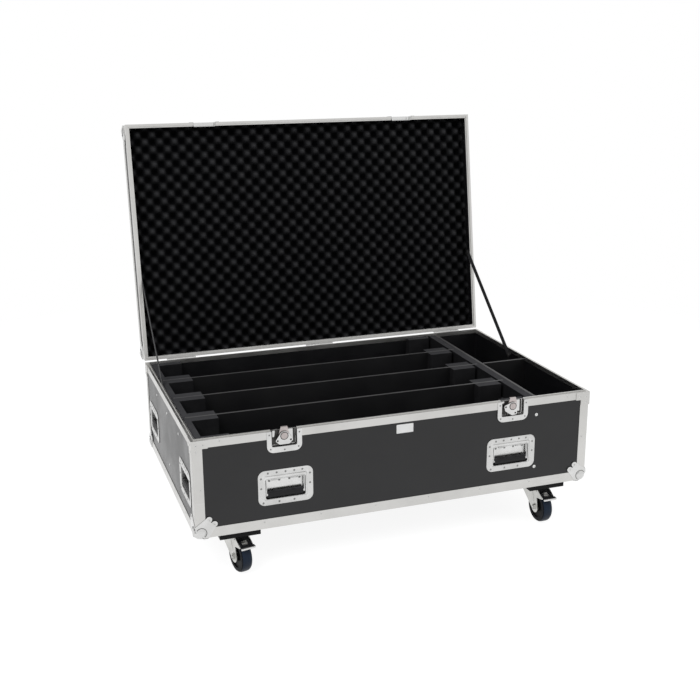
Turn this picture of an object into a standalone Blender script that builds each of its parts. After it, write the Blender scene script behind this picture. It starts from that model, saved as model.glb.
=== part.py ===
"""Wheeled flight case for stage lights, with its lid open against two webbing stays.

Lengths are in metres. The case is modelled with its lid shut and its front face at y = 0;
the lid then turns open on its hinge pivot, and the whole case moves so that the origin lies
on the floor, under the middle of the open case.
"""

import itertools
import math

import bmesh
import bpy
from mathutils import Matrix, Vector

# Case body
case_width = 1.250
case_depth = 0.792
base_height = 0.294
lid_depth = 0.090
panel_thickness = 0.009
touch_gap = 0.0003
bite = 0.0002
overrun = 0.020
short_overrun = 0.005

# Aluminium edge extrusions
edge_sheet = 0.0015
edge_flange = 0.030
edge_radius = 0.003

# Lip of the base and rim of the lid
lip_flange = 0.023
inner_sheet = 0.0012
inner_flange = 0.012
tongue_width = 0.004
tongue_height = 0.003
tongue_side_gap = 0.0004
tongue_top_gap = 0.0005
rim_seat_gap = 0.0005

# Corner braces on the lip
brace_reach = 0.046
brace_drop = 0.025
brace_leg_width = 0.029
brace_leg_drop = 0.042

# Ball corners
ball_radius = 0.0205
ball_inset = 0.0165
corner_sheet = 0.0015
corner_foot = 0.036
corner_cut = 0.022
corner_cut_gap = 0.0006
lobe_near = 0.040
lobe_far = 0.055
lobe_radius = 0.009
lobe_start_degrees = -60.0
lobe_end_degrees = 110.0

# Dividers and foam
divider_thickness = 0.009
divider_drop = 0.004
accessory_width = 0.1755
divider_pitch = 0.188
foam_strip = 0.025
foam_slot = 0.014
pad_length = 0.080
pad_thickness = 0.030
pad_end_gap = 0.010
pad_end_gap_depth = 0.050

# Egg-crate foam in the lid
egg_foam_base = 0.025
egg_foam_bump = 0.020
egg_pitch = 0.050

# Hinges
hinge_offset = 0.0045
hinge_inset = 0.125
hinge_width = 0.100
hinge_leaf = 0.0015
hinge_leaf_height = 0.034
hinge_knuckle_radius = 0.004
hinge_pin_radius = 0.0021
hinge_pin_gap = 0.0003
lid_open_degrees = 98.67

# Webbing stays
stay_width = 0.020
stay_thickness = 0.002
stay_wall_gap = 0.0005
stay_end = 0.008
stay_washer_radius = 0.007
stay_base_from_front = 0.507
stay_base_drop = 0.021
stay_lid_reach = 0.290
stay_lid_inset = 0.020
stay_slot_half = 0.050

# Spring handles
handle_width = 0.164
handle_height = 0.107
handle_corner = 0.020
handle_height_in_base = 0.1245
front_handle_inset = 0.266
side_handle_inset = 0.128
handle_sheet = 0.0012
handle_pocket_half = 0.061
handle_pocket_up = 0.030
handle_pocket_down = 0.034
handle_pocket_depth = 0.015
handle_pivot_up = 0.024
handle_pivot_depth = 0.007
handle_pin_radius = 0.0025
handle_arm_half_height = 0.0035
handle_arm_width = 0.003
grip_half_length = 0.054
grip_drop = 0.045
grip_half_height = 0.012
grip_half_depth = 0.006
dish_cut_gap = 0.0004

# Latches
latch_inset = 0.265
latch_half_width = 0.052
latch_drop = 0.0645
latch_rise = 0.044
latch_corner = 0.020
latch_sheet = 0.0012
latch_pocket_half = 0.037
latch_pocket_drop = 0.0475
latch_pocket_rise = 0.026
latch_pocket_depth = 0.013
mechanism_half = 0.028
mechanism_low = 0.043
mechanism_high = 0.013
mechanism_sheet = 0.0025
hook_pivot_drop = 0.036
hook_pivot_depth = 0.0055
hook_eye_radius = 0.0045
hook_pin_radius = 0.0021
hook_half_width = 0.010
hook_plate_depth = 0.007
hook_plate = 0.002
hook_reach = 0.010
hook_tab = 0.005
hook_lean_degrees = 8.0
lug_width = 0.004
lug_gap = 0.001
lug_half_height = 0.004
lug_front = 0.003
key_drop = 0.017
key_radius = 0.012
key_front = 0.0013
key_thickness = 0.0025
key_bar = 0.0022
key_bar_height = 0.0012
key_shaft_radius = 0.003
key_slot_half = 0.0042
key_slot_margin = 0.002
ledge_half = 0.014
ledge_thickness = 0.0022
ledge_overlap_gap = 0.0004

# Caster boards and casters
board_width = 0.120
board_depth = 0.132
board_thickness = 0.015
caster_inset_x = 0.130
caster_inset_y = 0.072
caster_height = 0.125
plate_width = 0.105
plate_depth = 0.085
plate_thickness = 0.0025
race_radius = 0.028
race_upper = 0.0045
race_lower = 0.0055
fork_sheet = 0.003
fork_half_width = 0.0215
fork_back = 0.044
fork_bridge_front = 0.030
fork_leg_back_drop = 0.028
caster_trail = 0.030
axle_radius = 0.006
axle_boss_radius = 0.019
boss_start_degrees = -30.0
boss_end_degrees = -200.0
axle_nut_radius = 0.009
axle_nut = 0.005
fork_waist = 0.041
fork_waist_drop = 0.027
horn_reach = 0.074
horn_top_drop = 0.016
horn_height = 0.0045
horn_start = 0.046
wheel_radius = 0.050
wheel_half_width = 0.016
hub_half_width = 0.017
hub_radius = 0.014
web_half_width = 0.012
web_radius = 0.035
bore_gap = 0.0004
tread_half_share = 0.35
shoulder_radius_share = 0.93
pedal_pivot_reach = 0.038
pedal_pivot_drop = 0.0055
pedal_knuckle_radius = 0.004
pedal_pin_radius = 0.0025
pedal_gap = 0.0006
pedal_reach = 0.091
pedal_slope_drop = 0.0125
pedal_sheet = 0.003
pedal_tip_half = 0.022
pedal_tip_length = 0.014
front_left_turn_degrees = 11.5
front_right_turn_degrees = 1.0

# Facets on round pieces
wheel_sides = 24
race_sides = 20
rod_sides = 12
ball_sides = 12
corner_steps = 3
nut_sides = 6
knuckle_count = 3
egg_points = 2
sharp_angle_degrees = 35.0

# Places worked out from the sizes above
half_width = case_width / 2
panel_outside = edge_sheet + touch_gap
panel_inside = panel_outside + panel_thickness
lip_depth = panel_inside + touch_gap + inner_sheet
base_bottom = caster_height + board_thickness
base_top = base_bottom + base_height
floor_top = base_bottom + panel_inside
divider_top = base_top - divider_drop
rim_bottom = base_top + rim_seat_gap
lid_top = rim_bottom + lid_depth
hinge_axis = Vector((0, case_depth + hinge_offset, base_top))
handle_z = base_bottom + handle_height_in_base
cross_divider_x = half_width - accessory_width


def clear_scene():
    for item in list(bpy.data.objects):
        bpy.data.objects.remove(item, do_unlink=True)


def make_material(name, colour, roughness, metallic=0.0):
    material = bpy.data.materials.new(name)
    material.use_nodes = True
    shader = material.node_tree.nodes["Principled BSDF"]
    shader.inputs["Base Color"].default_value = (*colour, 1.0)
    shader.inputs["Roughness"].default_value = roughness
    shader.inputs["Metallic"].default_value = metallic
    return material


def pivot(name, location, parent):
    empty = bpy.data.objects.new(name, None)
    bpy.context.scene.collection.objects.link(empty)
    empty.location = location
    empty.parent = parent
    return empty


def solid(shell):
    """Turn a bmesh into an object whose faces point outwards."""
    bmesh.ops.recalc_face_normals(shell, faces=shell.faces)
    mesh = bpy.data.meshes.new("solid")
    shell.to_mesh(mesh)
    shell.free()
    item = bpy.data.objects.new("solid", mesh)
    bpy.context.scene.collection.objects.link(item)
    return item


def circle(centre, radius, sides):
    turns = [math.tau * step / sides for step in range(sides)]
    return [(centre[0] + radius * math.cos(turn), centre[1] + radius * math.sin(turn)) for turn in turns]


def arc(centre, radius, start, end, steps=corner_steps):
    """Points along a round corner, its ends included; angles in degrees."""
    points = []
    for step in range(steps + 1):
        turn = math.radians(start + (end - start) * step / steps)
        points.append((centre[0] + radius * math.cos(turn), centre[1] + radius * math.sin(turn)))
    return points


def rounded(low, high, low_radius, high_radius):
    """Upright rectangle with one radius on its lower corners and one on its upper corners."""
    corners = (
        ((low[0], low[1]), (1, 1), low_radius, 180),
        ((high[0], low[1]), (-1, 1), low_radius, 270),
        ((high[0], high[1]), (-1, -1), high_radius, 0),
        ((low[0], high[1]), (1, -1), high_radius, 90),
    )
    points = []
    for corner, inward, radius, start in corners:
        if radius == 0:
            points.append(corner)
            continue
        centre = (corner[0] + inward[0] * radius, corner[1] + inward[1] * radius)
        points += arc(centre, radius, start, start + 90)
    return points


def prism(outline, axis, low, high):
    """Extrude a closed outline along an axis, from low to high."""
    order = {"X": (1, 2, 0), "Y": (0, 2, 1), "Z": (0, 1, 2)}[axis]
    shell = bmesh.new()
    corners = []
    for first, second in outline:
        place = [0.0, 0.0, 0.0]
        place[order[0]] = first
        place[order[1]] = second
        place[order[2]] = low
        corners.append(shell.verts.new(place))
    start = shell.faces.new(corners)
    grown = bmesh.ops.extrude_face_region(shell, geom=[start])
    travel = [0.0, 0.0, 0.0]
    travel[order[2]] = high - low
    moved_corners = [item for item in grown["geom"] if isinstance(item, bmesh.types.BMVert)]
    bmesh.ops.translate(shell, vec=travel, verts=moved_corners)
    return solid(shell)


def box(low, high):
    outline = [(low[0], low[1]), (high[0], low[1]), (high[0], high[1]), (low[0], high[1])]
    return prism(outline, "Z", low[2], high[2])


def rod(axis, centre, radius, low, high, sides=rod_sides):
    return prism(circle(centre, radius, sides), axis, low, high)


def mitred_ring(profile):
    """Run a closed profile of (inward, z) points round the outside of the case."""
    shell = bmesh.new()
    rings = []
    for side_x, side_y in ((-1, -1), (1, -1), (1, 1), (-1, 1)):
        ring = []
        for inward, height in profile:
            across = side_x * (half_width - inward)
            along = inward if side_y < 0 else case_depth - inward
            ring.append(shell.verts.new((across, along, height)))
        rings.append(ring)
    for here, after in zip(rings, rings[1:] + rings[:1]):
        for index in range(len(profile)):
            following = (index + 1) % len(profile)
            shell.faces.new((here[index], here[following], after[following], after[index]))
    return solid(shell)


def turned(profile, sides):
    """Turn a closed profile of (radius, x) points round the X axis."""
    shell = bmesh.new()
    rings = []
    for step in range(sides):
        turn = math.tau * step / sides
        rings.append([shell.verts.new((x, radius * math.sin(turn), -radius * math.cos(turn)))
                      for radius, x in profile])
    for here, after in zip(rings, rings[1:] + rings[:1]):
        for index in range(len(profile)):
            following = (index + 1) % len(profile)
            shell.faces.new((here[index], here[following], after[following], after[index]))
    return solid(shell)


def ball(centre, radius):
    shell = bmesh.new()
    bmesh.ops.create_uvsphere(shell, u_segments=ball_sides, v_segments=ball_sides // 2, radius=radius)
    bmesh.ops.translate(shell, vec=centre, verts=shell.verts)
    return solid(shell)


def combine(body, tools, operation):
    """Join tools to a body or cut them from it, and keep the result as the body's mesh."""
    for tool in tools:
        tool.hide_render = True
        tool.display_type = "WIRE"
        step = body.modifiers.new(operation.title(), "BOOLEAN")
        step.operation = operation
        step.object = tool
    bpy.context.view_layer.update()
    graph = bpy.context.evaluated_depsgraph_get()
    result = bpy.data.meshes.new_from_object(body.evaluated_get(graph))
    body.modifiers.clear()
    body.data = result
    for tool in tools:
        bpy.data.objects.remove(tool, do_unlink=True)
    return body


def joined(body, *tools):
    return combine(body, tools, "UNION")


def cut(body, *tools):
    return combine(body, tools, "DIFFERENCE")


def moved(item, matrix):
    item.data.transform(matrix)
    return item


def shape_of(item):
    """Keep an item's mesh, to be shared by its copies, and drop the item."""
    mesh = item.data
    bpy.data.objects.remove(item, do_unlink=True)
    return mesh


def piece(name, mesh, material, parent, location=(0, 0, 0), turn=0.0, tilt=0.0):
    """Place a finished piece; turn is about the vertical and tilt about the piece's own X, in degrees."""
    mesh.materials.clear()
    mesh.materials.append(material)
    mesh.shade_smooth()
    mesh.set_sharp_from_angle(angle=math.radians(sharp_angle_degrees))
    item = bpy.data.objects.new(name, mesh)
    bpy.context.scene.collection.objects.link(item)
    item.parent = parent
    item.location = location
    item.rotation_euler = (math.radians(tilt), 0, math.radians(turn))
    return item


def hung(item, axis_point):
    """Mesh of a piece drawn in place, with its origin moved to its joint's axis."""
    return shape_of(moved(item, Matrix.Translation(-Vector(axis_point))))


def handle_places():
    """Name, middle of the outer face and turn about the vertical of each handle."""
    places = []
    for side, sign in (("left", -1), ("right", 1)):
        across = sign * (half_width - front_handle_inset)
        places.append((f"front_{side}", Vector((across, 0, handle_z)), 0))
    for side, sign in (("left", -1), ("right", 1)):
        for end, along in (("front", side_handle_inset), ("back", case_depth - side_handle_inset)):
            places.append((f"{side}_{end}", Vector((sign * half_width, along, handle_z)), sign * 90))
    return places


def latch_places():
    across = half_width - latch_inset
    return (("left", Vector((-across, 0, base_top))), ("right", Vector((across, 0, base_top))))


def handle_cutters(depth):
    """Boxes that leave room for the handle pockets, to a depth behind the outer face."""
    gap = handle_sheet + dish_cut_gap
    half = handle_pocket_half + gap
    boxes = []
    for _, place, turn in handle_places():
        room = box((-half, -overrun, -handle_pocket_down - gap), (half, depth, handle_pocket_up + gap))
        boxes.append(moved(room, Matrix.Translation(place) @ Matrix.Rotation(math.radians(turn), 4, "Z")))
    return boxes


def latch_cutters(depth, drop, rise):
    """Boxes that leave room for the latch pockets, below and above the split line."""
    half = latch_pocket_half + latch_sheet + dish_cut_gap
    return [moved(box((-half, -overrun, -drop), (half, depth, rise)), Matrix.Translation(place))
            for _, place in latch_places()]


def base_latch_cutters(depth):
    return latch_cutters(depth, latch_pocket_drop + latch_sheet + dish_cut_gap, overrun)


def lid_latch_cutters(depth):
    return latch_cutters(depth, overrun, rim_seat_gap + latch_pocket_rise + latch_sheet + dish_cut_gap)


# Base: plywood tub, extrusions, corners

def corner_wedge(reach):
    """The tip of the case's corner, off to a sloping plane that meets the three edges at this reach."""
    far = reach + overrun * 2
    shell = bmesh.new()
    tip = [shell.verts.new(place) for place in
           ((-overrun, -overrun, -overrun), (far, -overrun, -overrun),
            (-overrun, far, -overrun), (-overrun, -overrun, far))]
    for corners in itertools.combinations(tip, len(tip) - 1):
        shell.faces.new(corners)
    return solid(shell)


def corner_wedges(reach, height):
    return at_corners(lambda: corner_wedge(reach), height)


def turned_over(item):
    """Take a piece drawn upside down at the floor to the top of the shut lid."""
    over = Matrix.Rotation(math.pi, 4, "X")
    return moved(item, Matrix.Translation((0, case_depth, lid_top)) @ over)


def base_tub():
    outside = half_width - panel_outside
    inside = half_width - panel_inside
    wall_top = base_top - edge_sheet - touch_gap
    tub = box((-outside, panel_outside, base_bottom + panel_outside),
              (outside, case_depth - panel_outside, wall_top))
    hollow = box((-inside, panel_inside, floor_top), (inside, case_depth - panel_inside, wall_top + overrun))
    through = panel_inside + short_overrun
    tips = corner_wedges(corner_cut + corner_cut_gap, base_bottom)
    return cut(tub, hollow, *handle_cutters(through), *base_latch_cutters(through), *tips)


def edge_shell(bottom, top):
    """Outer skin of the extrusions with a rounded plan, from bottom to top, open at the top."""
    outline = rounded((-half_width, 0), (half_width, case_depth), edge_radius, edge_radius)
    inside = half_width - edge_sheet
    shell = prism(outline, "Z", bottom, top)
    hollow = box((-inside, edge_sheet, bottom + edge_sheet), (inside, case_depth - edge_sheet, top + overrun))
    across = half_width - edge_flange
    front = edge_flange
    back = case_depth - edge_flange
    front_window = box((-across, -overrun, bottom + edge_flange),
                       (across, case_depth + overrun, top + overrun))
    side_window = box((-half_width - overrun, front, bottom + edge_flange),
                      (half_width + overrun, back, top + overrun))
    floor_window = box((-across, front, bottom - overrun), (across, back, bottom + edge_flange))
    return cut(shell, hollow, front_window, side_window, floor_window)


def base_lip_profile():
    """Section of the lip as (inward, z): outer flange, ledge, tongue and inner flange."""
    tongue_out = lip_depth - tongue_width
    flange_in = lip_depth - inner_sheet
    return [
        (0, base_top - lip_flange),
        (edge_sheet, base_top - lip_flange),
        (edge_sheet, base_top - edge_sheet),
        (flange_in, base_top - edge_sheet),
        (flange_in, base_top - inner_flange),
        (lip_depth, base_top - inner_flange),
        (lip_depth, base_top + tongue_height),
        (tongue_out, base_top + tongue_height),
        (tongue_out, base_top),
        (0, base_top),
    ]


def corner_brace():
    """L-shaped plates on both faces of the front left corner of the lip."""
    outline = [
        (-corner_sheet, base_top - bite),
        (-corner_sheet, base_top - brace_leg_drop),
        (brace_leg_width, base_top - brace_leg_drop),
        (brace_leg_width, base_top - brace_drop),
        (brace_reach, base_top - brace_drop),
        (brace_reach, base_top - bite),
    ]
    front = prism(outline, "Y", -corner_sheet, -touch_gap)
    side = prism(outline, "X", -corner_sheet, -touch_gap)
    seat_low = base_top - lip_flange + bite
    seat_high = base_top - bite * 2
    outside = -corner_sheet + bite
    bond = box((outside, outside, seat_low), (brace_reach - bite, bite, seat_high))
    side_bond = box((outside, outside, seat_low), (bite, brace_reach - bite, seat_high))
    return joined(front, side, bond, side_bond)


def corner_places(height):
    """Place and turn, for a piece drawn at the front left, of each corner of the case."""
    return (
        ("front_left", Vector((-half_width, 0, height)), 0),
        ("front_right", Vector((half_width, 0, height)), 90),
        ("back_right", Vector((half_width, case_depth, height)), 180),
        ("back_left", Vector((-half_width, case_depth, height)), -90),
    )


def at_corners(make, height):
    """One copy at each corner of a piece that is drawn at the front left corner."""
    return [moved(make(), Matrix.Translation(place) @ Matrix.Rotation(math.radians(turn), 4, "Z"))
            for _, place, turn in corner_places(height)]


def front_opening(low, high):
    """Room in the front of a lip from one latch pocket's outer side to the other's."""
    reach = half_width - latch_inset + latch_pocket_half + latch_sheet + dish_cut_gap
    return box((-reach, -overrun, low), (reach, lip_depth + short_overrun, high))


def base_edge_frame():
    """Lower ring, corner posts, braces and the lip, which stops at the two latches."""
    shell = edge_shell(base_bottom, base_top - lip_flange + bite)
    frame = joined(shell, mitred_ring(base_lip_profile()), *at_corners(corner_brace, 0))
    tips = corner_wedges(corner_cut + corner_cut_gap, base_bottom)
    return cut(frame, front_opening(base_top - latch_drop, base_top + overrun), *tips)


def front_length(profile):
    """The length of a lip that runs between the two latches."""
    reach = half_width - latch_inset - latch_pocket_half - latch_sheet - dish_cut_gap
    return prism(profile, "X", -reach, reach)


def ball_corner(seat, slope):
    """Ball with a lobed plate on each of three faces and a sloping tip; seat is where the plates start
    from each face of the case, and slope is where the back of the tip meets the case's edges."""
    outside = seat - corner_sheet
    outline = [(outside, outside), (corner_foot, outside)]
    outline += arc((lobe_far, lobe_near), lobe_radius, lobe_start_degrees, lobe_end_degrees)
    outline += arc((lobe_near, lobe_far), lobe_radius, 90 - lobe_end_degrees, 90 - lobe_start_degrees)
    outline += [(outside, corner_foot)]
    plates = [prism(outline, axis, outside, seat + bite) for axis in "XYZ"]
    near = outside + bite
    far = corner_foot - bite
    block = box((near, near, near), (far, far, far))
    tip = corner_wedge(slope - corner_sheet * math.sqrt(3))
    knob = ball((ball_inset, ball_inset, ball_inset), ball_radius)
    reach = lobe_far + lobe_radius + overrun
    room = cut(box((seat, seat, seat), (reach, reach, reach)), corner_wedge(slope))
    return cut(joined(cut(joined(block, *plates), tip), knob), room)


# Dividers and foam

def divider_centres():
    """Distance from the front of the case to the middle of each long divider."""
    return [case_depth / 2 + divider_pitch * step for step in (-1, 0, 1)]


def strip_span():
    """X of the left foam strip's back and of the right foam strip's back."""
    left = -half_width + panel_inside + touch_gap
    right = cross_divider_x - divider_thickness / 2 - touch_gap
    return left, right


def lip_room():
    """Room under the lip's inner flange, kept free by the dividers and the foam."""
    reach = lip_depth + touch_gap
    low = base_top - inner_flange - touch_gap
    high = base_top + overrun
    return mitred_ring([(0, low), (reach, low), (reach, high), (0, high)])


def long_divider(centre):
    left, right = strip_span()
    half = divider_thickness / 2
    start = left + foam_strip - foam_slot + touch_gap
    end = right - foam_strip + foam_slot - touch_gap
    return box((start, centre - half, floor_top + touch_gap), (end, centre + half, divider_top))


def cross_divider():
    half = divider_thickness / 2
    board = box((cross_divider_x - half, panel_inside + touch_gap, floor_top + touch_gap),
                (cross_divider_x + half, case_depth - panel_inside - touch_gap, divider_top))
    return cut(board, lip_room())


def short_divider():
    half = divider_thickness / 2
    middle = case_depth / 2
    board = box((cross_divider_x + half + touch_gap, middle - half, floor_top + touch_gap),
                (half_width - panel_inside - touch_gap, middle + half, divider_top))
    return cut(board, lip_room())


def comb_outline(reach):
    """Plan of an end foam as (distance from its wall, y): a strip with a pad on each side of every slot."""
    front = panel_inside + touch_gap
    back = case_depth - front
    slot_half = divider_thickness / 2 + touch_gap
    slot_end = foam_strip - foam_slot
    points = [(0, front), (reach, front), (reach, front + pad_thickness), (foam_strip, front + pad_thickness)]
    for centre in divider_centres():
        points += [
            (foam_strip, centre - slot_half - pad_thickness),
            (reach, centre - slot_half - pad_thickness),
            (reach, centre - slot_half),
            (slot_end, centre - slot_half),
            (slot_end, centre + slot_half),
            (reach, centre + slot_half),
            (reach, centre + slot_half + pad_thickness),
            (foam_strip, centre + slot_half + pad_thickness),
        ]
    points += [(foam_strip, back - pad_thickness), (reach, back - pad_thickness), (reach, back), (0, back)]
    return points


def stay_slot(depth):
    """Room at the left wall where the stay runs down behind the foam."""
    back = -half_width + panel_inside
    return box((back, stay_base_from_front - stay_slot_half, base_top - stay_base_drop - stay_slot_half),
               (back + depth, stay_base_from_front + stay_slot_half, base_top))


def left_end_foam():
    left, _ = strip_span()
    outline = [(left + reach, along) for reach, along in comb_outline(foam_strip + pad_length)]
    foam = prism(outline, "Z", floor_top + touch_gap, divider_top)
    slot_depth = lip_depth - panel_inside + stay_wall_gap * 2 + stay_thickness
    dish_room = handle_pocket_depth + handle_sheet + dish_cut_gap
    return cut(foam, lip_room(), stay_slot(slot_depth), *handle_cutters(dish_room))


def right_end_foam():
    _, right = strip_span()
    outline = [(right - reach, along) for reach, along in comb_outline(foam_strip + pad_end_gap + pad_length)]
    foam = prism(outline, "Z", floor_top + touch_gap, divider_top)
    near = right - foam_strip
    gap_low = divider_top - pad_end_gap_depth
    gap = box((near - pad_end_gap, -overrun, gap_low), (near, case_depth + overrun, divider_top + overrun))
    dish_room = handle_pocket_depth + handle_sheet + dish_cut_gap
    latch_room = latch_pocket_depth + latch_sheet + dish_cut_gap
    return cut(foam, gap, lip_room(), *handle_cutters(dish_room), *base_latch_cutters(latch_room))


# Lid, drawn shut

def lid_tray():
    outside = half_width - panel_outside
    inside = half_width - panel_inside
    top = lid_top - panel_outside
    wall_bottom = rim_bottom + tongue_height + tongue_top_gap + inner_sheet + touch_gap
    tray = box((-outside, panel_outside, wall_bottom), (outside, case_depth - panel_outside, top))
    hollow = box((-inside, panel_inside, wall_bottom - overrun),
                 (inside, case_depth - panel_inside, top - panel_thickness))
    tips = [turned_over(tip) for tip in corner_wedges(corner_cut + bite + corner_cut_gap, 0)]
    return cut(tray, hollow, *lid_latch_cutters(panel_inside + short_overrun), *tips)


def lid_rim_profile():
    """Section of the rim as (inward, z): outer flange, ledge, and the step that covers the tongue."""
    step_out = lip_depth - tongue_width - tongue_side_gap
    step_top = rim_bottom + tongue_height + tongue_top_gap
    flange_out = lip_depth - inner_sheet
    return [
        (0, rim_bottom),
        (step_out, rim_bottom),
        (step_out, step_top),
        (lip_depth, step_top),
        (lip_depth, rim_bottom + inner_flange),
        (flange_out, rim_bottom + inner_flange),
        (flange_out, step_top + inner_sheet),
        (edge_sheet, step_top + inner_sheet),
        (edge_sheet, rim_bottom + lip_flange),
        (0, rim_bottom + lip_flange),
    ]


def lid_ball_corner():
    return ball_corner(bite, corner_cut + bite)


def lid_edge_frame():
    """Top ring, posts and ball corners, drawn upside down and turned over, with the rim below them."""
    shell = cut(edge_shell(0, lid_depth - lip_flange + bite), *corner_wedges(corner_cut, 0))
    frame = turned_over(joined(shell, *at_corners(lid_ball_corner, 0)))
    opening = front_opening(rim_bottom - overrun, rim_bottom + latch_rise)
    return cut(joined(frame, mitred_ring(lid_rim_profile())), opening)


def egg_foam():
    """Sheet with a flat back and staggered bumps: high and low points alternate on a square grid."""
    across = half_width - panel_inside - touch_gap
    front = panel_inside + touch_gap
    back = case_depth - front
    top = lid_top - panel_outside - panel_thickness - touch_gap
    spacing = egg_pitch / egg_points
    columns = round(across * 2 / spacing)
    rows = round((back - front) / spacing)
    valley = top - egg_foam_base
    shell = bmesh.new()
    grid = []
    for row in range(rows + 1):
        along = front + (back - front) * row / rows
        line = []
        for column in range(columns + 1):
            place = -across + across * 2 * column / columns
            on_edge = row in (0, rows) or column in (0, columns)
            high = (row + column) % 2 == 0 and not on_edge
            line.append(shell.verts.new((place, along, valley - egg_foam_bump if high else valley)))
        grid.append(line)
    halfway = valley - egg_foam_bump / 2
    for lower, upper in zip(grid, grid[1:]):
        for index in range(columns):
            corners = (lower[index], lower[index + 1], upper[index + 1], upper[index])
            flip = corners[0].co.z > halfway and corners[2].co.z > halfway
            first, second = ((0, 1, 3), (1, 2, 3)) if flip else ((0, 1, 2), (0, 2, 3))
            shell.faces.new([corners[step] for step in first])
            shell.faces.new([corners[step] for step in second])
    border = [edge for edge in shell.edges if edge.is_boundary]
    rim = bmesh.ops.extrude_edge_only(shell, edges=border)
    rim_verts = [item for item in rim["geom"] if isinstance(item, bmesh.types.BMVert)]
    rim_edges = [item for item in rim["geom"] if isinstance(item, bmesh.types.BMEdge)]
    for corner in rim_verts:
        corner.co.z = top
    bmesh.ops.contextual_create(shell, geom=rim_edges)
    return solid(shell)


# Hinges

def hinge_centres():
    reach = half_width - hinge_inset
    return (("left", -reach), ("centre", 0.0), ("right", reach))


def hinge_knuckles(centre):
    """X of the knuckle joints: two outer ones on the base leaf and one between them on the lid leaf."""
    length = hinge_width / knuckle_count
    start = centre - hinge_width / 2
    return [start + length * step for step in range(knuckle_count + 1)]


def hinge_base_leaf(centre):
    ends = hinge_knuckles(centre)
    near = case_depth + touch_gap
    far = near + hinge_leaf
    low = base_top - hinge_leaf_height
    clear = hinge_knuckle_radius + hinge_pin_gap
    plate = box((ends[0], near, low), (ends[3], far, base_top))
    window = box((ends[1] - hinge_pin_gap, near - short_overrun, base_top - clear),
                 (ends[2] + hinge_pin_gap, far + short_overrun, base_top + overrun))
    middle = (hinge_axis.y, hinge_axis.z)
    first = rod("X", middle, hinge_knuckle_radius, ends[0], ends[1] - hinge_pin_gap)
    second = rod("X", middle, hinge_knuckle_radius, ends[2] + hinge_pin_gap, ends[3])
    bore = rod("X", middle, hinge_pin_radius + hinge_pin_gap, ends[0] - overrun, ends[3] + overrun)
    return cut(joined(cut(plate, window), first, second), bore)


def hinge_lid_leaf(centre):
    ends = hinge_knuckles(centre)
    near = case_depth + touch_gap
    far = near + hinge_leaf
    clear = hinge_knuckle_radius + hinge_pin_gap
    plate = box((ends[0], near, base_top + clear), (ends[3], far, base_top + hinge_leaf_height))
    neck = box((ends[1], near, base_top), (ends[2], far, base_top + clear + bite))
    middle = (hinge_axis.y, hinge_axis.z)
    knuckle = rod("X", middle, hinge_knuckle_radius, ends[1], ends[2])
    pin = rod("X", middle, hinge_pin_radius, ends[0], ends[3])
    return joined(knuckle, neck, plate, pin)


# Webbing stays

def opened(place):
    """Where a point of the shut lid lies once the lid is open."""
    turn = Matrix.Rotation(math.radians(-lid_open_degrees), 3, "X")
    return hinge_axis + turn @ (Vector(place) - hinge_axis)


def ordered(first, second):
    return min(first, second), max(first, second)


def stay_strap(sign):
    """Taut webbing from the base wall to the open lid's wall, with a washer at each end."""
    low = Vector((0, stay_base_from_front, base_top - stay_base_drop))
    high = opened((0, hinge_axis.y - stay_lid_reach, rim_bottom + stay_lid_inset))
    along = (high - low).normalized()
    across = Vector((0, -along.z, along.y)) * (stay_width / 2)
    start = low - along * stay_end
    end = high + along * stay_end
    corners = (start - across, end - across, end + across, start + across)
    outline = [(corner.y, corner.z) for corner in corners]
    wall = sign * (half_width - panel_inside - touch_gap)
    face = half_width - lip_depth - stay_wall_gap
    strap = prism(outline, "X", *ordered(sign * face, sign * (face - stay_thickness)))
    washers = [rod("X", (spot.y, spot.z), stay_washer_radius, *ordered(wall, sign * (face - bite)))
               for spot in (low, high)]
    return joined(strap, *washers)


# Spring handles, drawn about the middle of the handle on the case's outer face

def handle_dish():
    outline = rounded((-handle_width / 2, -handle_height / 2), (handle_width / 2, handle_height / 2),
                      handle_corner, handle_corner)
    flange = prism(outline, "Y", edge_sheet - handle_sheet, edge_sheet)
    outer = handle_pocket_half + handle_sheet
    pocket = box((-outer, edge_sheet - handle_sheet / 2, -handle_pocket_down - handle_sheet),
                 (outer, handle_pocket_depth + handle_sheet, handle_pocket_up + handle_sheet))
    hollow = box((-handle_pocket_half, -overrun, -handle_pocket_down),
                 (handle_pocket_half, handle_pocket_depth, handle_pocket_up))
    return cut(joined(flange, pocket), hollow)


def handle_grip():
    """Bail and rubber grip, drawn about the pivot rod."""
    end = handle_pocket_half - touch_gap
    pin = rod("X", (0, 0), handle_pin_radius, -end, end)
    oval = [(grip_half_depth * x, -grip_drop + grip_half_height * z) for x, z in circle((0, 0), 1, rod_sides)]
    grip = prism(oval, "X", -grip_half_length, grip_half_length)
    arms = []
    for side in (-1, 1):
        ends = ordered(side * (end - handle_arm_width), side * (end - handle_arm_width * 2))
        outline = [(-handle_arm_half_height, handle_arm_half_height), (-handle_arm_half_height, -grip_drop),
                   (handle_arm_half_height, -grip_drop), (handle_arm_half_height, handle_arm_half_height)]
        arms.append(prism(outline, "X", *ends))
    steel_end = grip_half_length + handle_arm_width
    core = rod("X", (0, -grip_drop), handle_arm_half_height - bite, -steel_end, steel_end)
    return joined(grip, core, pin, *arms)


# Latches, drawn about the middle of the split line on the case's outer face

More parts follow.
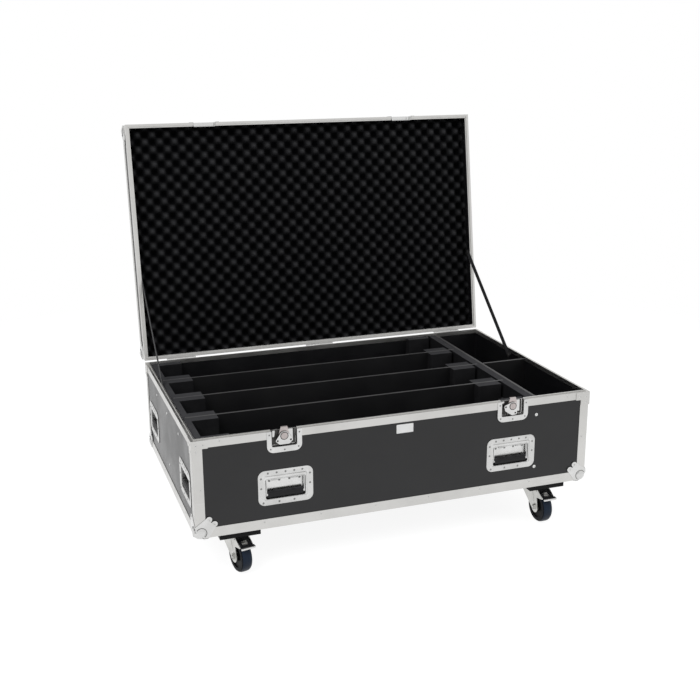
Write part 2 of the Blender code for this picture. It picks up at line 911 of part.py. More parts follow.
def latch_dish():
    outline = rounded((-latch_half_width, -latch_drop), (latch_half_width, -touch_gap), latch_corner, 0)
    flange = prism(outline, "Y", -latch_sheet - touch_gap, -touch_gap)
    outer = latch_pocket_half + latch_sheet
    pocket = box((-outer, -touch_gap - latch_sheet / 2, -latch_pocket_drop - latch_sheet),
                 (outer, latch_pocket_depth + latch_sheet, -touch_gap - bite))
    hollow = box((-latch_pocket_half, -overrun, -latch_pocket_drop),
                 (latch_pocket_half, latch_pocket_depth, overrun))
    dish = cut(joined(flange, pocket), hollow)
    face = latch_pocket_depth - mechanism_sheet
    plate = box((-mechanism_half, face, -mechanism_low),
                (mechanism_half, latch_pocket_depth + bite, -mechanism_high))
    inner = hook_half_width + lug_gap
    lugs = []
    for side in (-1, 1):
        ends = ordered(side * inner, side * (inner + lug_width))
        lugs.append(box((ends[0], lug_front, -hook_pivot_drop - lug_half_height),
                        (ends[1], face + bite, -hook_pivot_drop + lug_half_height)))
    pin_end = inner + lug_width / 2
    pin = rod("X", (hook_pivot_depth, -hook_pivot_drop), hook_pin_radius, -pin_end, pin_end)
    return joined(dish, plate, *lugs, pin)


def latch_hook():
    """Hook plate with an eye, drawn about its pivot pin in the engaged position."""
    front = hook_plate_depth - hook_pivot_depth
    top = hook_pivot_drop + hook_reach
    outline = [
        (front, 0),
        (front + hook_plate, 0),
        (front + hook_plate, top - hook_plate),
        (front + hook_tab, top - hook_plate),
        (front + hook_tab, top),
        (front, top),
    ]
    plate = prism(outline, "X", -hook_half_width, hook_half_width)
    eye = rod("X", (0, 0), hook_eye_radius, -hook_half_width + bite, hook_half_width - bite)
    bore = rod("X", (0, 0), hook_pin_radius + hinge_pin_gap,
               -hook_half_width - overrun, hook_half_width + overrun)
    shaft_up = hook_pivot_drop - key_drop
    slot_half = key_radius - key_slot_margin
    slot = box((-key_slot_half, -overrun, shaft_up - slot_half),
               (key_slot_half, overrun, shaft_up + slot_half))
    return cut(joined(plate, eye), bore, slot)


def latch_key():
    """Turning disc with a grip bar and a shaft, drawn about the shaft's axis."""
    back = key_thickness - key_front
    disc = rod("Y", (0, 0), key_radius, -key_front, back, race_sides)
    bar = box((-key_radius + key_slot_margin, -key_front - key_bar_height, -key_bar),
              (key_radius - key_slot_margin, -key_front + bite, key_bar))
    shaft_end = latch_pocket_depth - mechanism_sheet - touch_gap
    shaft = rod("Y", (0, 0), key_shaft_radius, back - bite, shaft_end)
    return joined(disc, bar, shaft)


def latch_catch():
    """Dish on the lid with the ledge that the hook pulls on; z counts up from the split line."""
    low = rim_seat_gap + touch_gap
    outline = rounded((-latch_half_width, low), (latch_half_width, rim_seat_gap + latch_rise),
                      0, latch_corner)
    flange = prism(outline, "Y", -latch_sheet - touch_gap, -touch_gap)
    outer = latch_pocket_half + latch_sheet
    top = rim_seat_gap + latch_pocket_rise
    pocket = box((-outer, -touch_gap - latch_sheet / 2, low + bite),
                 (outer, latch_pocket_depth + latch_sheet, top + latch_sheet))
    hollow = box((-latch_pocket_half, -overrun, -overrun), (latch_pocket_half, latch_pocket_depth, top))
    ledge_top = hook_reach - hook_plate - touch_gap
    ledge_front = hook_plate_depth + hook_plate + ledge_overlap_gap
    ledge = box((-ledge_half, ledge_front, ledge_top - ledge_thickness),
                (ledge_half, latch_pocket_depth + bite, ledge_top))
    return joined(cut(joined(flange, pocket), hollow), ledge)


# Casters, drawn about the swivel axis with z = 0 at the underside of the base

fork_top = -(board_thickness + plate_thickness + race_upper + race_lower + touch_gap)
bridge_low = fork_top - fork_sheet
axle_z = wheel_radius - base_bottom
pedal_pivot_z = fork_top - pedal_pivot_drop


def caster_board():
    half_x = board_width / 2
    half_y = board_depth / 2
    board = box((-half_x, -half_y, -board_thickness), (half_x, half_y, -touch_gap))
    plate_low = -board_thickness - plate_thickness
    plate = box((-plate_width / 2, -plate_depth / 2, plate_low),
                (plate_width / 2, plate_depth / 2, -board_thickness + bite))
    race = rod("Z", (0, 0), race_radius, plate_low - race_upper, plate_low + bite, race_sides)
    return joined(board, plate, race)


def fork_leg_outline():
    """Side view of a fork leg: back edge, axle boss, waist and the horn that carries the pedal."""
    points = [(fork_back, fork_top - bite), (fork_back, bridge_low - fork_leg_back_drop)]
    points += arc((-caster_trail, axle_z), axle_boss_radius, boss_start_degrees, boss_end_degrees,
                  corner_steps * 2)
    points += [
        (-fork_waist, fork_top - fork_waist_drop),
        (-horn_reach, fork_top - horn_top_drop - horn_height),
        (-horn_reach, fork_top - horn_top_drop),
        (-horn_start, fork_top - bite),
    ]
    return points


def caster_fork():
    inner = fork_half_width - fork_sheet
    bridge = box((-fork_half_width, -fork_bridge_front, bridge_low), (fork_half_width, fork_back, fork_top))
    legs = [prism(fork_leg_outline(), "X", *ends)
            for ends in ((-fork_half_width, -inner), (inner, fork_half_width))]
    race = rod("Z", (0, 0), race_radius, fork_top - bite, fork_top + race_lower, race_sides)
    centre = (-caster_trail, axle_z)
    axle = rod("X", centre, axle_radius, -fork_half_width - bite, fork_half_width + bite)
    nuts = [rod("X", centre, axle_nut_radius, *ends, nut_sides)
            for ends in ((-fork_half_width - axle_nut, -fork_half_width + bite),
                         (fork_half_width - bite, fork_half_width + axle_nut))]
    return joined(bridge, *legs, race, axle, *nuts)


def braked_fork():
    """Fork with holes for the pedal's pin."""
    hole = rod("X", (-pedal_pivot_reach, pedal_pivot_z), pedal_pin_radius + hinge_pin_gap,
               -fork_half_width - overrun, fork_half_width + overrun)
    return cut(caster_fork(), hole)


def caster_wheel():
    """Hub, web and rounded tyre, drawn about the axle."""
    tread = wheel_half_width * tread_half_share
    shoulder = wheel_radius * shoulder_radius_share
    half = [
        (axle_radius + bore_gap, hub_half_width),
        (hub_radius, hub_half_width),
        (hub_radius, web_half_width),
        (web_radius, web_half_width),
        (web_radius, wheel_half_width),
        (shoulder, wheel_half_width),
        (wheel_radius, tread),
    ]
    return turned(half + [(radius, -x) for radius, x in reversed(half)], wheel_sides)


def brake_pedal():
    """Sloping pedal between the fork's horns, drawn about its pivot pin."""
    inner = fork_half_width - fork_sheet - pedal_gap
    reach = pedal_reach - pedal_pivot_reach
    neck = reach - pedal_tip_length
    outline = [(-inner, 0), (inner, 0), (inner, -neck), (pedal_tip_half, -neck), (pedal_tip_half, -reach),
               (-pedal_tip_half, -reach), (-pedal_tip_half, -neck), (-inner, -neck)]
    plate = prism(outline, "Z", -pedal_sheet / 2, pedal_sheet / 2)
    plate = moved(plate, Matrix.Rotation(math.atan2(pedal_slope_drop, reach), 4, "X"))
    knuckle = rod("X", (0, 0), pedal_knuckle_radius, -inner + bite, inner - bite)
    pin = rod("X", (0, 0), pedal_pin_radius, -fork_half_width, fork_half_width)
    return joined(knuckle, plate, pin)


def build_case():
    clear_scene()
    laminate = make_material("black_laminate", (0.035, 0.035, 0.038), 0.45)
    aluminium = make_material("aluminium", (0.62, 0.62, 0.60), 0.35, 1.0)
    steel = make_material("zinc_steel", (0.68, 0.68, 0.67), 0.30, 1.0)
    foam = make_material("black_foam", (0.02, 0.02, 0.021), 0.95)
    rubber = make_material("black_rubber", (0.015, 0.015, 0.016), 0.70)
    tyre = make_material("blue_tyre", (0.02, 0.04, 0.07), 0.60)
    webbing = make_material("black_webbing", (0.012, 0.012, 0.012), 0.85)
    board = make_material("black_board", (0.01, 0.01, 0.01), 0.60)

    case = pivot("case", (0, 0, 0), None)

    piece("base_tub", shape_of(base_tub()), laminate, case)
    piece("base_edge_frame", shape_of(base_edge_frame()), aluminium, case)
    piece("base_lip_front", shape_of(front_length(base_lip_profile())), aluminium, case)
    corner_mesh = shape_of(ball_corner(-touch_gap, corner_cut))
    for name, place, turn in corner_places(base_bottom):
        piece(f"ball_corner_{name}", corner_mesh, steel, case, place, turn)

    for number, centre in enumerate(divider_centres(), start=1):
        piece(f"long_divider_{number}", shape_of(long_divider(centre)), laminate, case)
    piece("cross_divider", shape_of(cross_divider()), laminate, case)
    piece("short_divider", shape_of(short_divider()), laminate, case)
    piece("left_end_foam", shape_of(left_end_foam()), foam, case)
    piece("right_end_foam", shape_of(right_end_foam()), foam, case)

    lid = pivot("lid_hinge", hinge_axis, case)
    lid.rotation_euler = (math.radians(-lid_open_degrees), 0, 0)
    piece("lid_tray", hung(lid_tray(), hinge_axis), laminate, lid)
    piece("lid_edge_frame", hung(lid_edge_frame(), hinge_axis), aluminium, lid)
    piece("lid_rim_front", hung(front_length(lid_rim_profile()), hinge_axis), aluminium, lid)
    piece("lid_foam", hung(egg_foam(), hinge_axis), foam, lid)

    for name, centre in hinge_centres():
        piece(f"hinge_base_leaf_{name}", shape_of(hinge_base_leaf(centre)), steel, case)
        piece(f"hinge_lid_leaf_{name}", hung(hinge_lid_leaf(centre), hinge_axis), steel, lid)
    for side, sign in (("left", -1), ("right", 1)):
        piece(f"stay_strap_{side}", shape_of(stay_strap(sign)), webbing, case)

    dish_mesh = shape_of(handle_dish())
    grip_mesh = shape_of(handle_grip())
    rod_place = Vector((0, handle_pivot_depth, handle_pivot_up))
    for name, place, turn in handle_places():
        piece(f"handle_dish_{name}", dish_mesh, steel, case, place, turn)
        inward = Matrix.Rotation(math.radians(turn), 3, "Z") @ rod_place
        piece(f"handle_grip_{name}", grip_mesh, rubber, case, place + inward, turn)

    latch_mesh = shape_of(latch_dish())
    key_mesh = shape_of(latch_key())
    hook_mesh = shape_of(latch_hook())
    catch_mesh = shape_of(latch_catch())
    for side, place in latch_places():
        piece(f"latch_dish_{side}", latch_mesh, steel, case, place)
        piece(f"latch_key_{side}", key_mesh, steel, case, place - Vector((0, 0, key_drop)))
        eye = place + Vector((0, hook_pivot_depth, -hook_pivot_drop))
        piece(f"latch_hook_{side}", hook_mesh, steel, case, eye, tilt=hook_lean_degrees)
        piece(f"latch_catch_{side}", catch_mesh, steel, lid, place - hinge_axis)

    board_mesh = shape_of(caster_board())
    plain_fork = shape_of(caster_fork())
    brake_fork = shape_of(braked_fork())
    wheel_mesh = shape_of(caster_wheel())
    pedal_mesh = shape_of(brake_pedal())
    across = half_width - caster_inset_x
    casters = (
        ("front_left", -across, caster_inset_y, front_left_turn_degrees),
        ("front_right", across, caster_inset_y, front_right_turn_degrees),
        ("back_left", -across, case_depth - caster_inset_y, 0.0),
        ("back_right", across, case_depth - caster_inset_y, 0.0),
    )
    for name, x, y, turn in casters:
        place = Vector((x, y, base_bottom))
        braked = name.startswith("front")
        piece(f"caster_board_{name}", board_mesh, board, case, place)
        swivel = pivot(f"swivel_{name}", place, case)
        swivel.rotation_euler = (0, 0, math.radians(turn))
        piece(f"caster_fork_{name}", brake_fork if braked else plain_fork, steel, swivel)
        piece(f"caster_wheel_{name}", wheel_mesh, tyre, swivel, (0, -caster_trail, axle_z))
        if braked:
            piece(f"brake_pedal_{name}", pedal_mesh, steel, swivel, (0, -pedal_pivot_reach, pedal_pivot_z))
    centre_case(case)


def centre_case(case):
    """Move the case so that the origin lies on the floor under the middle of its bounding box."""
    bpy.context.view_layer.update()
    depths = [(item.matrix_world @ corner.co).y
              for item in bpy.data.objects if item.type == "MESH" for corner in item.data.vertices]
    case.location = (0, -(min(depths) + max(depths)) / 2, 0)


build_case()
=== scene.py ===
"""Lighting flight case on four casters, with its lid open against two webbing stays.

Pieces are drawn in the shut case's own place (x from its middle, y from its front face, z from the
floor), and the lid's pieces are then turned open with the lid. Lengths are in metres.
"""

import math

import bmesh
import bpy
from mathutils import Matrix, Vector, noise


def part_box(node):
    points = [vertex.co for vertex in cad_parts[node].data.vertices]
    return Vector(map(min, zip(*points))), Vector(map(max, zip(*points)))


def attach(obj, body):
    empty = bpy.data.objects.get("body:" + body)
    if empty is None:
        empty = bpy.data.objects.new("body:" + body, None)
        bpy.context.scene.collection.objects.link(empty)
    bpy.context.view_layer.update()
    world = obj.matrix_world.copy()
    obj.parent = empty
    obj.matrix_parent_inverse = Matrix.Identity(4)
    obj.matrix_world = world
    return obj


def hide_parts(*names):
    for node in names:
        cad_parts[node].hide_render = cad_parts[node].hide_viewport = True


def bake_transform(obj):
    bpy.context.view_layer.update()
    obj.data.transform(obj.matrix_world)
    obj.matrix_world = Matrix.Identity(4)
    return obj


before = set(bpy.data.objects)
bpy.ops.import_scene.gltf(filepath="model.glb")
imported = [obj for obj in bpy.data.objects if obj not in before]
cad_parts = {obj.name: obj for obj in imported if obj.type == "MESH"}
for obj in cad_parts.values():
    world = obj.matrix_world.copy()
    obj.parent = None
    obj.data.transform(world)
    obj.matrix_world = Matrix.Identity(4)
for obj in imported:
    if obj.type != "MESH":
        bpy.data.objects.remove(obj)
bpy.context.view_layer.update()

# Camera: stands to the front left of the case, a little above the open lid's middle, and looks
# down on it. Square picture, no depth of field.

camera_place = (-1.1040, -3.1785, 1.4798)
camera_turn, camera_tilt, camera_roll = 19.3218, -16.2936, -0.3333
focal_length, sensor_width, farthest = 54.19, 36.0, 60.0
lens = bpy.data.cameras.new("camera")
lens.lens = focal_length
lens.sensor_width = sensor_width
lens.clip_end = farthest
camera = bpy.data.objects.new("camera", lens)
bpy.context.scene.collection.objects.link(camera)
camera.matrix_world = (
    Matrix.Translation(camera_place)
    @ Matrix.Rotation(math.radians(-camera_turn), 4, "Z")
    @ Matrix.Rotation(math.radians(90 + camera_tilt), 4, "X")
    @ Matrix.Rotation(math.radians(camera_roll), 4, "Z")
)
bpy.context.scene.camera = camera
bpy.context.scene.view_settings.view_transform = "Standard"

# Studio: a plain white floor and white surroundings, lit by soft lamps above and to both sides.
# The camera, metal and gloss see white all round; the floor keeps a faint shadow.

white = (1.0, 1.0, 1.0)
sky_tint, sky_strength = (0.97, 0.98, 1.0), 0.50
floor_colour, shadow_colour, shadow_lift = (0.80, 0.80, 0.80), (0.22, 0.22, 0.22), 0.90
floor_size, shadow_reach, white_from = 60.0, 1.1, 3.0


def link(tree, source, target):
    tree.links.new(source, target)


def calculated(tree, operation, first, second):
    """The result of a sum on two numbers of a node tree."""
    step = tree.nodes.new("ShaderNodeMath")
    step.operation = operation
    link(tree, first, step.inputs[0])
    link(tree, second, step.inputs[1])
    return step.outputs[0]


def sees_white(tree):
    """A mask that is 1 for rays from the camera, from gloss and through glass."""
    path = tree.nodes.new("ShaderNodeLightPath")
    mask = path.outputs["Is Camera Ray"]
    for ray in ("Is Glossy Ray", "Is Transmission Ray"):
        mask = calculated(tree, "MAXIMUM", mask, path.outputs[ray])
    return mask


def ramp(tree, source, low, high, start=0.0, end=1.0):
    """Stretches a number from low..high to start..end, held at both ends."""
    step = tree.nodes.new("ShaderNodeMapRange")
    link(tree, source, step.inputs["Value"])
    for label, value in (("From Min", low), ("From Max", high), ("To Min", start), ("To Max", end)):
        step.inputs[label].default_value = value
    return step.outputs["Result"]


def lit(tree, kind, colour, strength=None):
    """A plain shader of one colour."""
    shader = tree.nodes.new(kind)
    shader.inputs["Color"].default_value = (*colour, 1.0)
    if strength is not None:
        shader.inputs["Strength"].default_value = strength
    return shader.outputs[0]


def mixed(tree, mask, under, over):
    """Goes from one shader to the other where the mask is high."""
    mix = tree.nodes.new("ShaderNodeMixShader")
    for socket, source in zip(mix.inputs, (mask, under, over)):
        link(tree, source, socket)
    return mix.outputs[0]


def surface_spot(tree):
    return tree.nodes.new("ShaderNodeTexCoord").outputs["Object"]


surroundings = bpy.data.worlds.new("surroundings")
surroundings.use_nodes = True
bpy.context.scene.world = surroundings
tree = surroundings.node_tree
tree.nodes.clear()
glow = lit(tree, "ShaderNodeBackground", white, 1.0)
dim = lit(tree, "ShaderNodeBackground", sky_tint, sky_strength)
sky = tree.nodes.new("ShaderNodeOutputWorld")
link(tree, mixed(tree, sees_white(tree), dim, glow), sky.inputs["Surface"])

bpy.ops.object.select_all(action="DESELECT")
bpy.ops.mesh.primitive_plane_add(size=floor_size)
floor = bpy.context.object
floor.name = "studio_floor"
white_floor = bpy.data.materials.new("white_floor")
white_floor.use_nodes = True
tree = white_floor.node_tree
tree.nodes.clear()
reach = tree.nodes.new("ShaderNodeVectorMath")
reach.operation = "LENGTH"
link(tree, surface_spot(tree), reach.inputs[0])
near = tree.nodes.new("ShaderNodeAddShader")
link(tree, lit(tree, "ShaderNodeBsdfDiffuse", shadow_colour), near.inputs[0])
link(tree, lit(tree, "ShaderNodeEmission", white, shadow_lift), near.inputs[1])
seen = mixed(tree, ramp(tree, reach.outputs["Value"], shadow_reach, white_from),
             near.outputs[0], lit(tree, "ShaderNodeEmission", white, 1.0))
surface = tree.nodes.new("ShaderNodeOutputMaterial")
plain = lit(tree, "ShaderNodeBsdfDiffuse", floor_colour)
link(tree, mixed(tree, sees_white(tree), plain, seen), surface.inputs["Surface"])
floor.data.materials.append(white_floor)

# each lamp lights the colours, and its dim twin gives metal and gloss a soft highlight
glint = 0.40
lamp_aim = Vector((0.0, 0.0, 0.4))
for name, place, size, power in (
    ("key", (-3.4, -3.2, 4.4), 3.2, 175.0),
    ("fill", (3.6, -2.8, 2.8), 2.6, 60.0),
    ("back", (0.5, 3.6, 4.2), 2.6, 55.0),
):
    for kind, energy in (("lamp", power), ("glint", glint * (math.pi * size / 2) ** 2)):
        lamp = bpy.data.lights.new(f"{name}_{kind}", "AREA")
        lamp.shape = "DISK"
        lamp.size = size
        lamp.energy = energy
        holder = bpy.data.objects.new(f"{name}_{kind}", lamp)
        holder.visible_glossy = kind == "glint"
        holder.visible_diffuse = kind == "lamp"
        bpy.context.scene.collection.objects.link(holder)
        aim = (lamp_aim - Vector(place)).to_track_quat("-Z", "Y")
        holder.matrix_world = Matrix.Translation(place) @ aim.to_matrix().to_4x4()

# Laminate panels: the tub of the base, the tray of the lid and the dividers are plywood faced with
# black phenolic laminate, with a fine pebbled face and paler worn edges.

case_width, case_depth, base_height, lid_depth = 1.250, 0.792, 0.294, 0.090
half_width = case_width / 2
base_bottom, closing_gap = 0.140, 0.0005
base_top = base_bottom + base_height
rim_bottom = base_top + closing_gap
lid_top = rim_bottom + lid_depth
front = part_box("base_lip_front")[0].y
case = Matrix.Translation((0.0, front, 0.0))
hinge_back, lid_opening = 0.0045, math.radians(98.67)
hinge_axis = Vector((0.0, case_depth + hinge_back, base_top))
lid_open = (case @ Matrix.Translation(hinge_axis)
            @ Matrix.Rotation(-lid_opening, 4, "X") @ Matrix.Translation(-hinge_axis))


def new_group(name, inputs, outputs):
    """A shader node group with named number sockets."""
    group = bpy.data.node_groups.new(name, "ShaderNodeTree")
    for label, value in inputs:
        socket = group.interface.new_socket(label, in_out="INPUT", socket_type="NodeSocketFloat")
        socket.default_value = value
    for label in outputs:
        group.interface.new_socket(label, in_out="OUTPUT", socket_type="NodeSocketFloat")
    return group, group.nodes.new("NodeGroupInput"), group.nodes.new("NodeGroupOutput")


def noise_on(tree, vector, scale, detail=2.0, roughness=0.5):
    texture = tree.nodes.new("ShaderNodeTexNoise")
    link(tree, vector, texture.inputs["Vector"])
    if isinstance(scale, float):
        texture.inputs["Scale"].default_value = scale
    else:
        link(tree, scale, texture.inputs["Scale"])
    texture.inputs["Detail"].default_value = detail
    texture.inputs["Roughness"].default_value = roughness
    return texture.outputs["Fac"]


# grain: fine relief of a face, as a height, at so many grains a metre
grain_group, grain_in, grain_out = new_group("face_grain", [("Grains", 600.0)], ["Height"])
fine = noise_on(grain_group, surface_spot(grain_group), grain_in.outputs["Grains"], 3.0, 0.6)
link(grain_group, ramp(grain_group, fine, 0.35, 0.68), grain_out.inputs["Height"])

# handling: broad clouds of dust and rubbing, and thin scratches that cross them
handling_group, handling_in, handling_out = new_group(
    "handling_marks", [("Clouds", 7.0), ("Scratches", 90.0)], ["Dust", "Scratch"])
place = surface_spot(handling_group)
broad = noise_on(handling_group, place, handling_in.outputs["Clouds"], 5.0, 0.62)
link(handling_group, ramp(handling_group, broad, 0.40, 0.72), handling_out.inputs["Dust"])
stretch = handling_group.nodes.new("ShaderNodeMapping")
stretch.inputs["Rotation"].default_value = (0.3, 0.5, 0.4)
stretch.inputs["Scale"].default_value = (0.06, 1.0, 1.0)
link(handling_group, place, stretch.inputs["Vector"])
thin = noise_on(handling_group, stretch.outputs[0], handling_in.outputs["Scratches"], 2.0, 0.5)
link(handling_group, ramp(handling_group, thin, 0.66, 0.74), handling_out.inputs["Scratch"])

# edge wear: a mask that is strongest where a face turns over an edge
wear_group, wear_in, wear_out = new_group(
    "edge_wear", [("Radius", 0.002), ("Breakup", 60.0)], ["Mask"])
turned = wear_group.nodes.new("ShaderNodeBevel")
turned.samples = 4
link(wear_group, wear_in.outputs["Radius"], turned.inputs["Radius"])
straight = wear_group.nodes.new("ShaderNodeNewGeometry")
along = wear_group.nodes.new("ShaderNodeVectorMath")
along.operation = "DOT_PRODUCT"
link(wear_group, turned.outputs[0], along.inputs[0])
link(wear_group, straight.outputs["Normal"], along.inputs[1])
rounded = ramp(wear_group, along.outputs["Value"], 0.98, 0.80)
breakup = noise_on(wear_group, surface_spot(wear_group), wear_in.outputs["Breakup"], 3.0)
broken = ramp(wear_group, breakup, 0.35, 0.60)
link(wear_group, calculated(wear_group, "MULTIPLY", rounded, broken), wear_out.inputs["Mask"])


def placed_group(tree, group, **values):
    node = tree.nodes.new("ShaderNodeGroup")
    node.node_tree = group
    for label, value in values.items():
        node.inputs[label].default_value = value
    return node


def blended(tree, mask, under, over, share=1.0):
    """A colour that goes from under to over where the mask is high."""
    mix = tree.nodes.new("ShaderNodeMix")
    mix.data_type = "RGBA"
    amount = ramp(tree, mask, 0.0, 1.0, 0.0, share)
    link(tree, amount, mix.inputs["Factor"])
    for socket, colour in ((mix.inputs["A"], under), (mix.inputs["B"], over)):
        if isinstance(colour, tuple):
            socket.default_value = (*colour, 1.0)
        else:
            link(tree, colour, socket)
    return mix.outputs["Result"]


def new_finish(name, roughness, metallic=0.0, **constants):
    """A material with one Principled shader, its constants set on its own sockets."""
    material = bpy.data.materials.new(name)
    material.use_nodes = True
    shader = material.node_tree.nodes["Principled BSDF"]
    shader.inputs["Roughness"].default_value = roughness
    shader.inputs["Metallic"].default_value = metallic
    for label, value in constants.items():
        shader.inputs[label.replace("_", " ")].default_value = value
    return material, material.node_tree, shader


def relief(tree, shader, height, depth):
    """Lets a height pattern catch the light, depth metres from its lowest to its highest point."""
    bump = tree.nodes.new("ShaderNodeBump")
    bump.inputs["Strength"].default_value = 1.0
    bump.inputs["Distance"].default_value = depth
    link(tree, height, bump.inputs["Height"])
    link(tree, bump.outputs[0], shader.inputs["Normal"])


scratch_share, wear_share = 0.35, 0.8


def handled(name, colour, dusty, roughness, spread, grains, depth, metallic=0.0, dust=0.5,
            scratched=None, worn=None, clouds=7.0, radius=0.002, **constants):
    """A face with fine grain, clouds of dust, scratches and, if wanted, worn edges."""
    material, tree, shader = new_finish(name, roughness, metallic, **constants)
    marks = placed_group(tree, handling_group, Clouds=clouds)
    result = blended(tree, marks.outputs["Dust"], colour, dusty, dust)
    if scratched:
        result = blended(tree, marks.outputs["Scratch"], result, scratched, scratch_share)
    if worn:
        edges = placed_group(tree, wear_group, Radius=radius)
        result = blended(tree, edges.outputs["Mask"], result, worn, wear_share)
    link(tree, result, shader.inputs["Base Color"])
    link(tree, ramp(tree, marks.outputs["Dust"], 0.0, 1.0, roughness - spread, roughness + spread),
         shader.inputs["Roughness"])
    grain = placed_group(tree, grain_group, Grains=grains)
    relief(tree, shader, grain.outputs["Height"], depth)
    return material


laminate = handled("black_laminate", (0.0055, 0.0055, 0.0062), (0.0105, 0.0105, 0.0112), 0.34,
                   0.05, 520.0, 0.00006, dust=0.6, worn=(0.06, 0.058, 0.055), radius=0.0015,
                   Specular_IOR_Level=0.42)


def repaint(node, material):
    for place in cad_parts[node].material_slots:
        place.material = material


for node in ("base_tub", "lid_tray"):
    repaint(node, laminate)

# Edge extrusions: clear anodised aluminium angle, riveted over every edge of the panels, with the
# tongue and groove closure round the mouth and folded steel braces at its corners.

aluminium = handled("anodised_aluminium", (0.60, 0.595, 0.58), (0.52, 0.515, 0.50), 0.36, 0.06,
                    900.0, 0.00002, metallic=1.0, dust=0.7, scratched=(0.72, 0.71, 0.70),
                    clouds=5.0)
cad_doubles, flat_angle = 0.000002, math.radians(0.5)


def alone(piece):
    """Makes one piece active and selects nothing else."""
    bpy.ops.object.select_all(action="DESELECT")
    piece.select_set(True)
    bpy.context.view_layer.objects.active = piece
    return piece


def worked(piece, kind, **settings):
    """Adds a modifier with these settings and applies it."""
    alone(piece)
    step = piece.modifiers.new(kind.title(), kind)
    for label, value in settings.items():
        setattr(step, label, value)
    bpy.ops.object.modifier_apply(modifier=step.name)
    return piece


def smoothed(piece, angle=35.0):
    alone(piece)
    bpy.ops.object.shade_smooth_by_angle(angle=math.radians(angle))
    return piece


def softened(piece, radius, steps=2, angle=40.0):
    """Rounds every edge sharper than the angle."""
    worked(piece, "BEVEL", width=radius, segments=steps, limit_method="ANGLE",
           angle_limit=math.radians(angle), use_clamp_overlap=True, harden_normals=False)
    return worked(smoothed(piece), "WEIGHTED_NORMAL", keep_sharp=True)


def opened(piece):
    """Opens a piece in edit mode with all of it selected."""
    alone(piece)
    bpy.ops.object.mode_set(mode="EDIT")
    bpy.ops.mesh.select_all(action="SELECT")
    return piece


def closed(piece):
    bpy.ops.object.mode_set(mode="OBJECT")
    return piece


def retraced(name, node):
    """A new piece on the shape of a CAD node, its loose triangles merged into whole faces."""
    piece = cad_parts[node].copy()
    piece.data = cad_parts[node].data.copy()
    for key in list(piece.keys()):
        del piece[key]
    piece.parent = None
    bpy.context.scene.collection.objects.link(piece)
    alone(piece)
    piece.name = name
    piece.data.name = name
    piece.data.materials.clear()
    bpy.ops.mesh.customdata_custom_splitnormals_clear()
    opened(piece)
    bpy.ops.mesh.remove_doubles(threshold=cad_doubles)
    bpy.ops.mesh.dissolve_limited(angle_limit=flat_angle)
    return closed(piece)


def finished(piece, body, slot, *materials, replaces=()):
    """Gives a piece its materials and its body, and hides the nodes that it stands for; the slot is
    not used.
    """
    for material in materials:
        piece.data.materials.append(material)
    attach(piece, body)
    if replaces:
        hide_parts(*replaces)
    return piece


for node, body in (("base_edge_frame", "base"), ("base_lip_front", "base"),
                   ("lid_edge_frame", "lid"), ("lid_rim_front", "lid")):
    length = softened(retraced(f"{node}_extrusion", node), 0.0004)
    finished(length, body, "aluminium", aluminium, replaces=[node])

# Rivets: aluminium blind rivets with a low domed head and the dark end of the mandrel in the
# middle, at even distances along every extrusion and through every fitting.

rivet_head = handled("rivet_head", (0.62, 0.62, 0.61), (0.50, 0.50, 0.49), 0.30, 0.06, 700.0,
                     0.00001, metallic=1.0)
# dark steel for mandrel ends, washers and screw heads, and also painted shade in the corner rings,
# latch pockets, finger holes and handle pockets
dark_steel_and_shade = handled("dark_steel_and_shade", (0.06, 0.058, 0.055), (0.03, 0.029, 0.028), 0.5, 0.08, 700.0,
                     0.00002, metallic=0.6)
rivet_radius, mandrel_radius = 0.0037, 0.0011


def opened_primitive(name, add, **sizes):
    """A new primitive about the origin, open in edit mode with all of it selected."""
    bpy.ops.object.select_all(action="DESELECT")
    add(**sizes)
    piece = bpy.context.object
    piece.name = name
    piece.data.name = name
    piece.data.materials.clear()
    bpy.ops.object.mode_set(mode="EDIT")
    bpy.ops.mesh.select_all(action="SELECT")
    return piece


def pick(kind, test):
    """Selects the verts, edges or faces of the open piece for which the test holds."""
    bpy.ops.mesh.select_mode(type=kind)
    bpy.ops.mesh.select_all(action="DESELECT")
    shell = bmesh.from_edit_mesh(bpy.context.object.data)
    shell.normal_update()
    items = {"VERT": shell.verts, "EDGE": shell.edges, "FACE": shell.faces}[kind]
    for item in items:
        if kind == "VERT":
            item.select_set(test(item.co))
        elif kind == "EDGE":
            item.select_set(test(item.verts[0].co, item.verts[1].co))
        else:
            item.select_set(test(item.calc_center_median(), item.normal))
    shell.select_flush_mode()
    bmesh.update_edit_mesh(bpy.context.object.data)


def drawn_out(x=0.0, y=0.0, z=0.0):
    bpy.ops.mesh.extrude_region_move(TRANSFORM_OT_translate={"value": (x, y, z)})


def scaled(x=1.0, y=1.0, z=1.0, about=(0.0, 0.0, 0.0)):
    bpy.ops.transform.resize(value=(x, y, z), center_override=about)


def shifted(x=0.0, y=0.0, z=0.0):
    bpy.ops.transform.translate(value=(x, y, z))


def onto_side(place, turn):
    """Takes a fitting drawn flat, facing up, to an upright face of the case: its y runs up."""
    return (Matrix.Translation(place) @ Matrix.Rotation(math.radians(turn), 4, "Z")
            @ Matrix.Rotation(math.radians(90), 4, "X"))


def twin_of(piece, name, matrix):
    """A copy with its own mesh, taken to its place."""
    twin = piece.copy()
    twin.data = piece.data.copy()
    twin.name = name
    twin.data.name = name
    bpy.context.scene.collection.objects.link(twin)
    twin.data.transform(matrix)
    return twin


def joined_pieces(name, pieces):
    """Makes the first piece, with all others joined to it, the named one."""
    whole = alone(pieces[0])
    for piece in pieces:
        piece.select_set(True)
    if len(pieces) > 1:
        bpy.ops.object.join()
    whole.name = name
    whole.data.name = name
    return whole


def dropped(*pieces):
    for piece in pieces:
        bpy.data.objects.remove(piece, do_unlink=True)


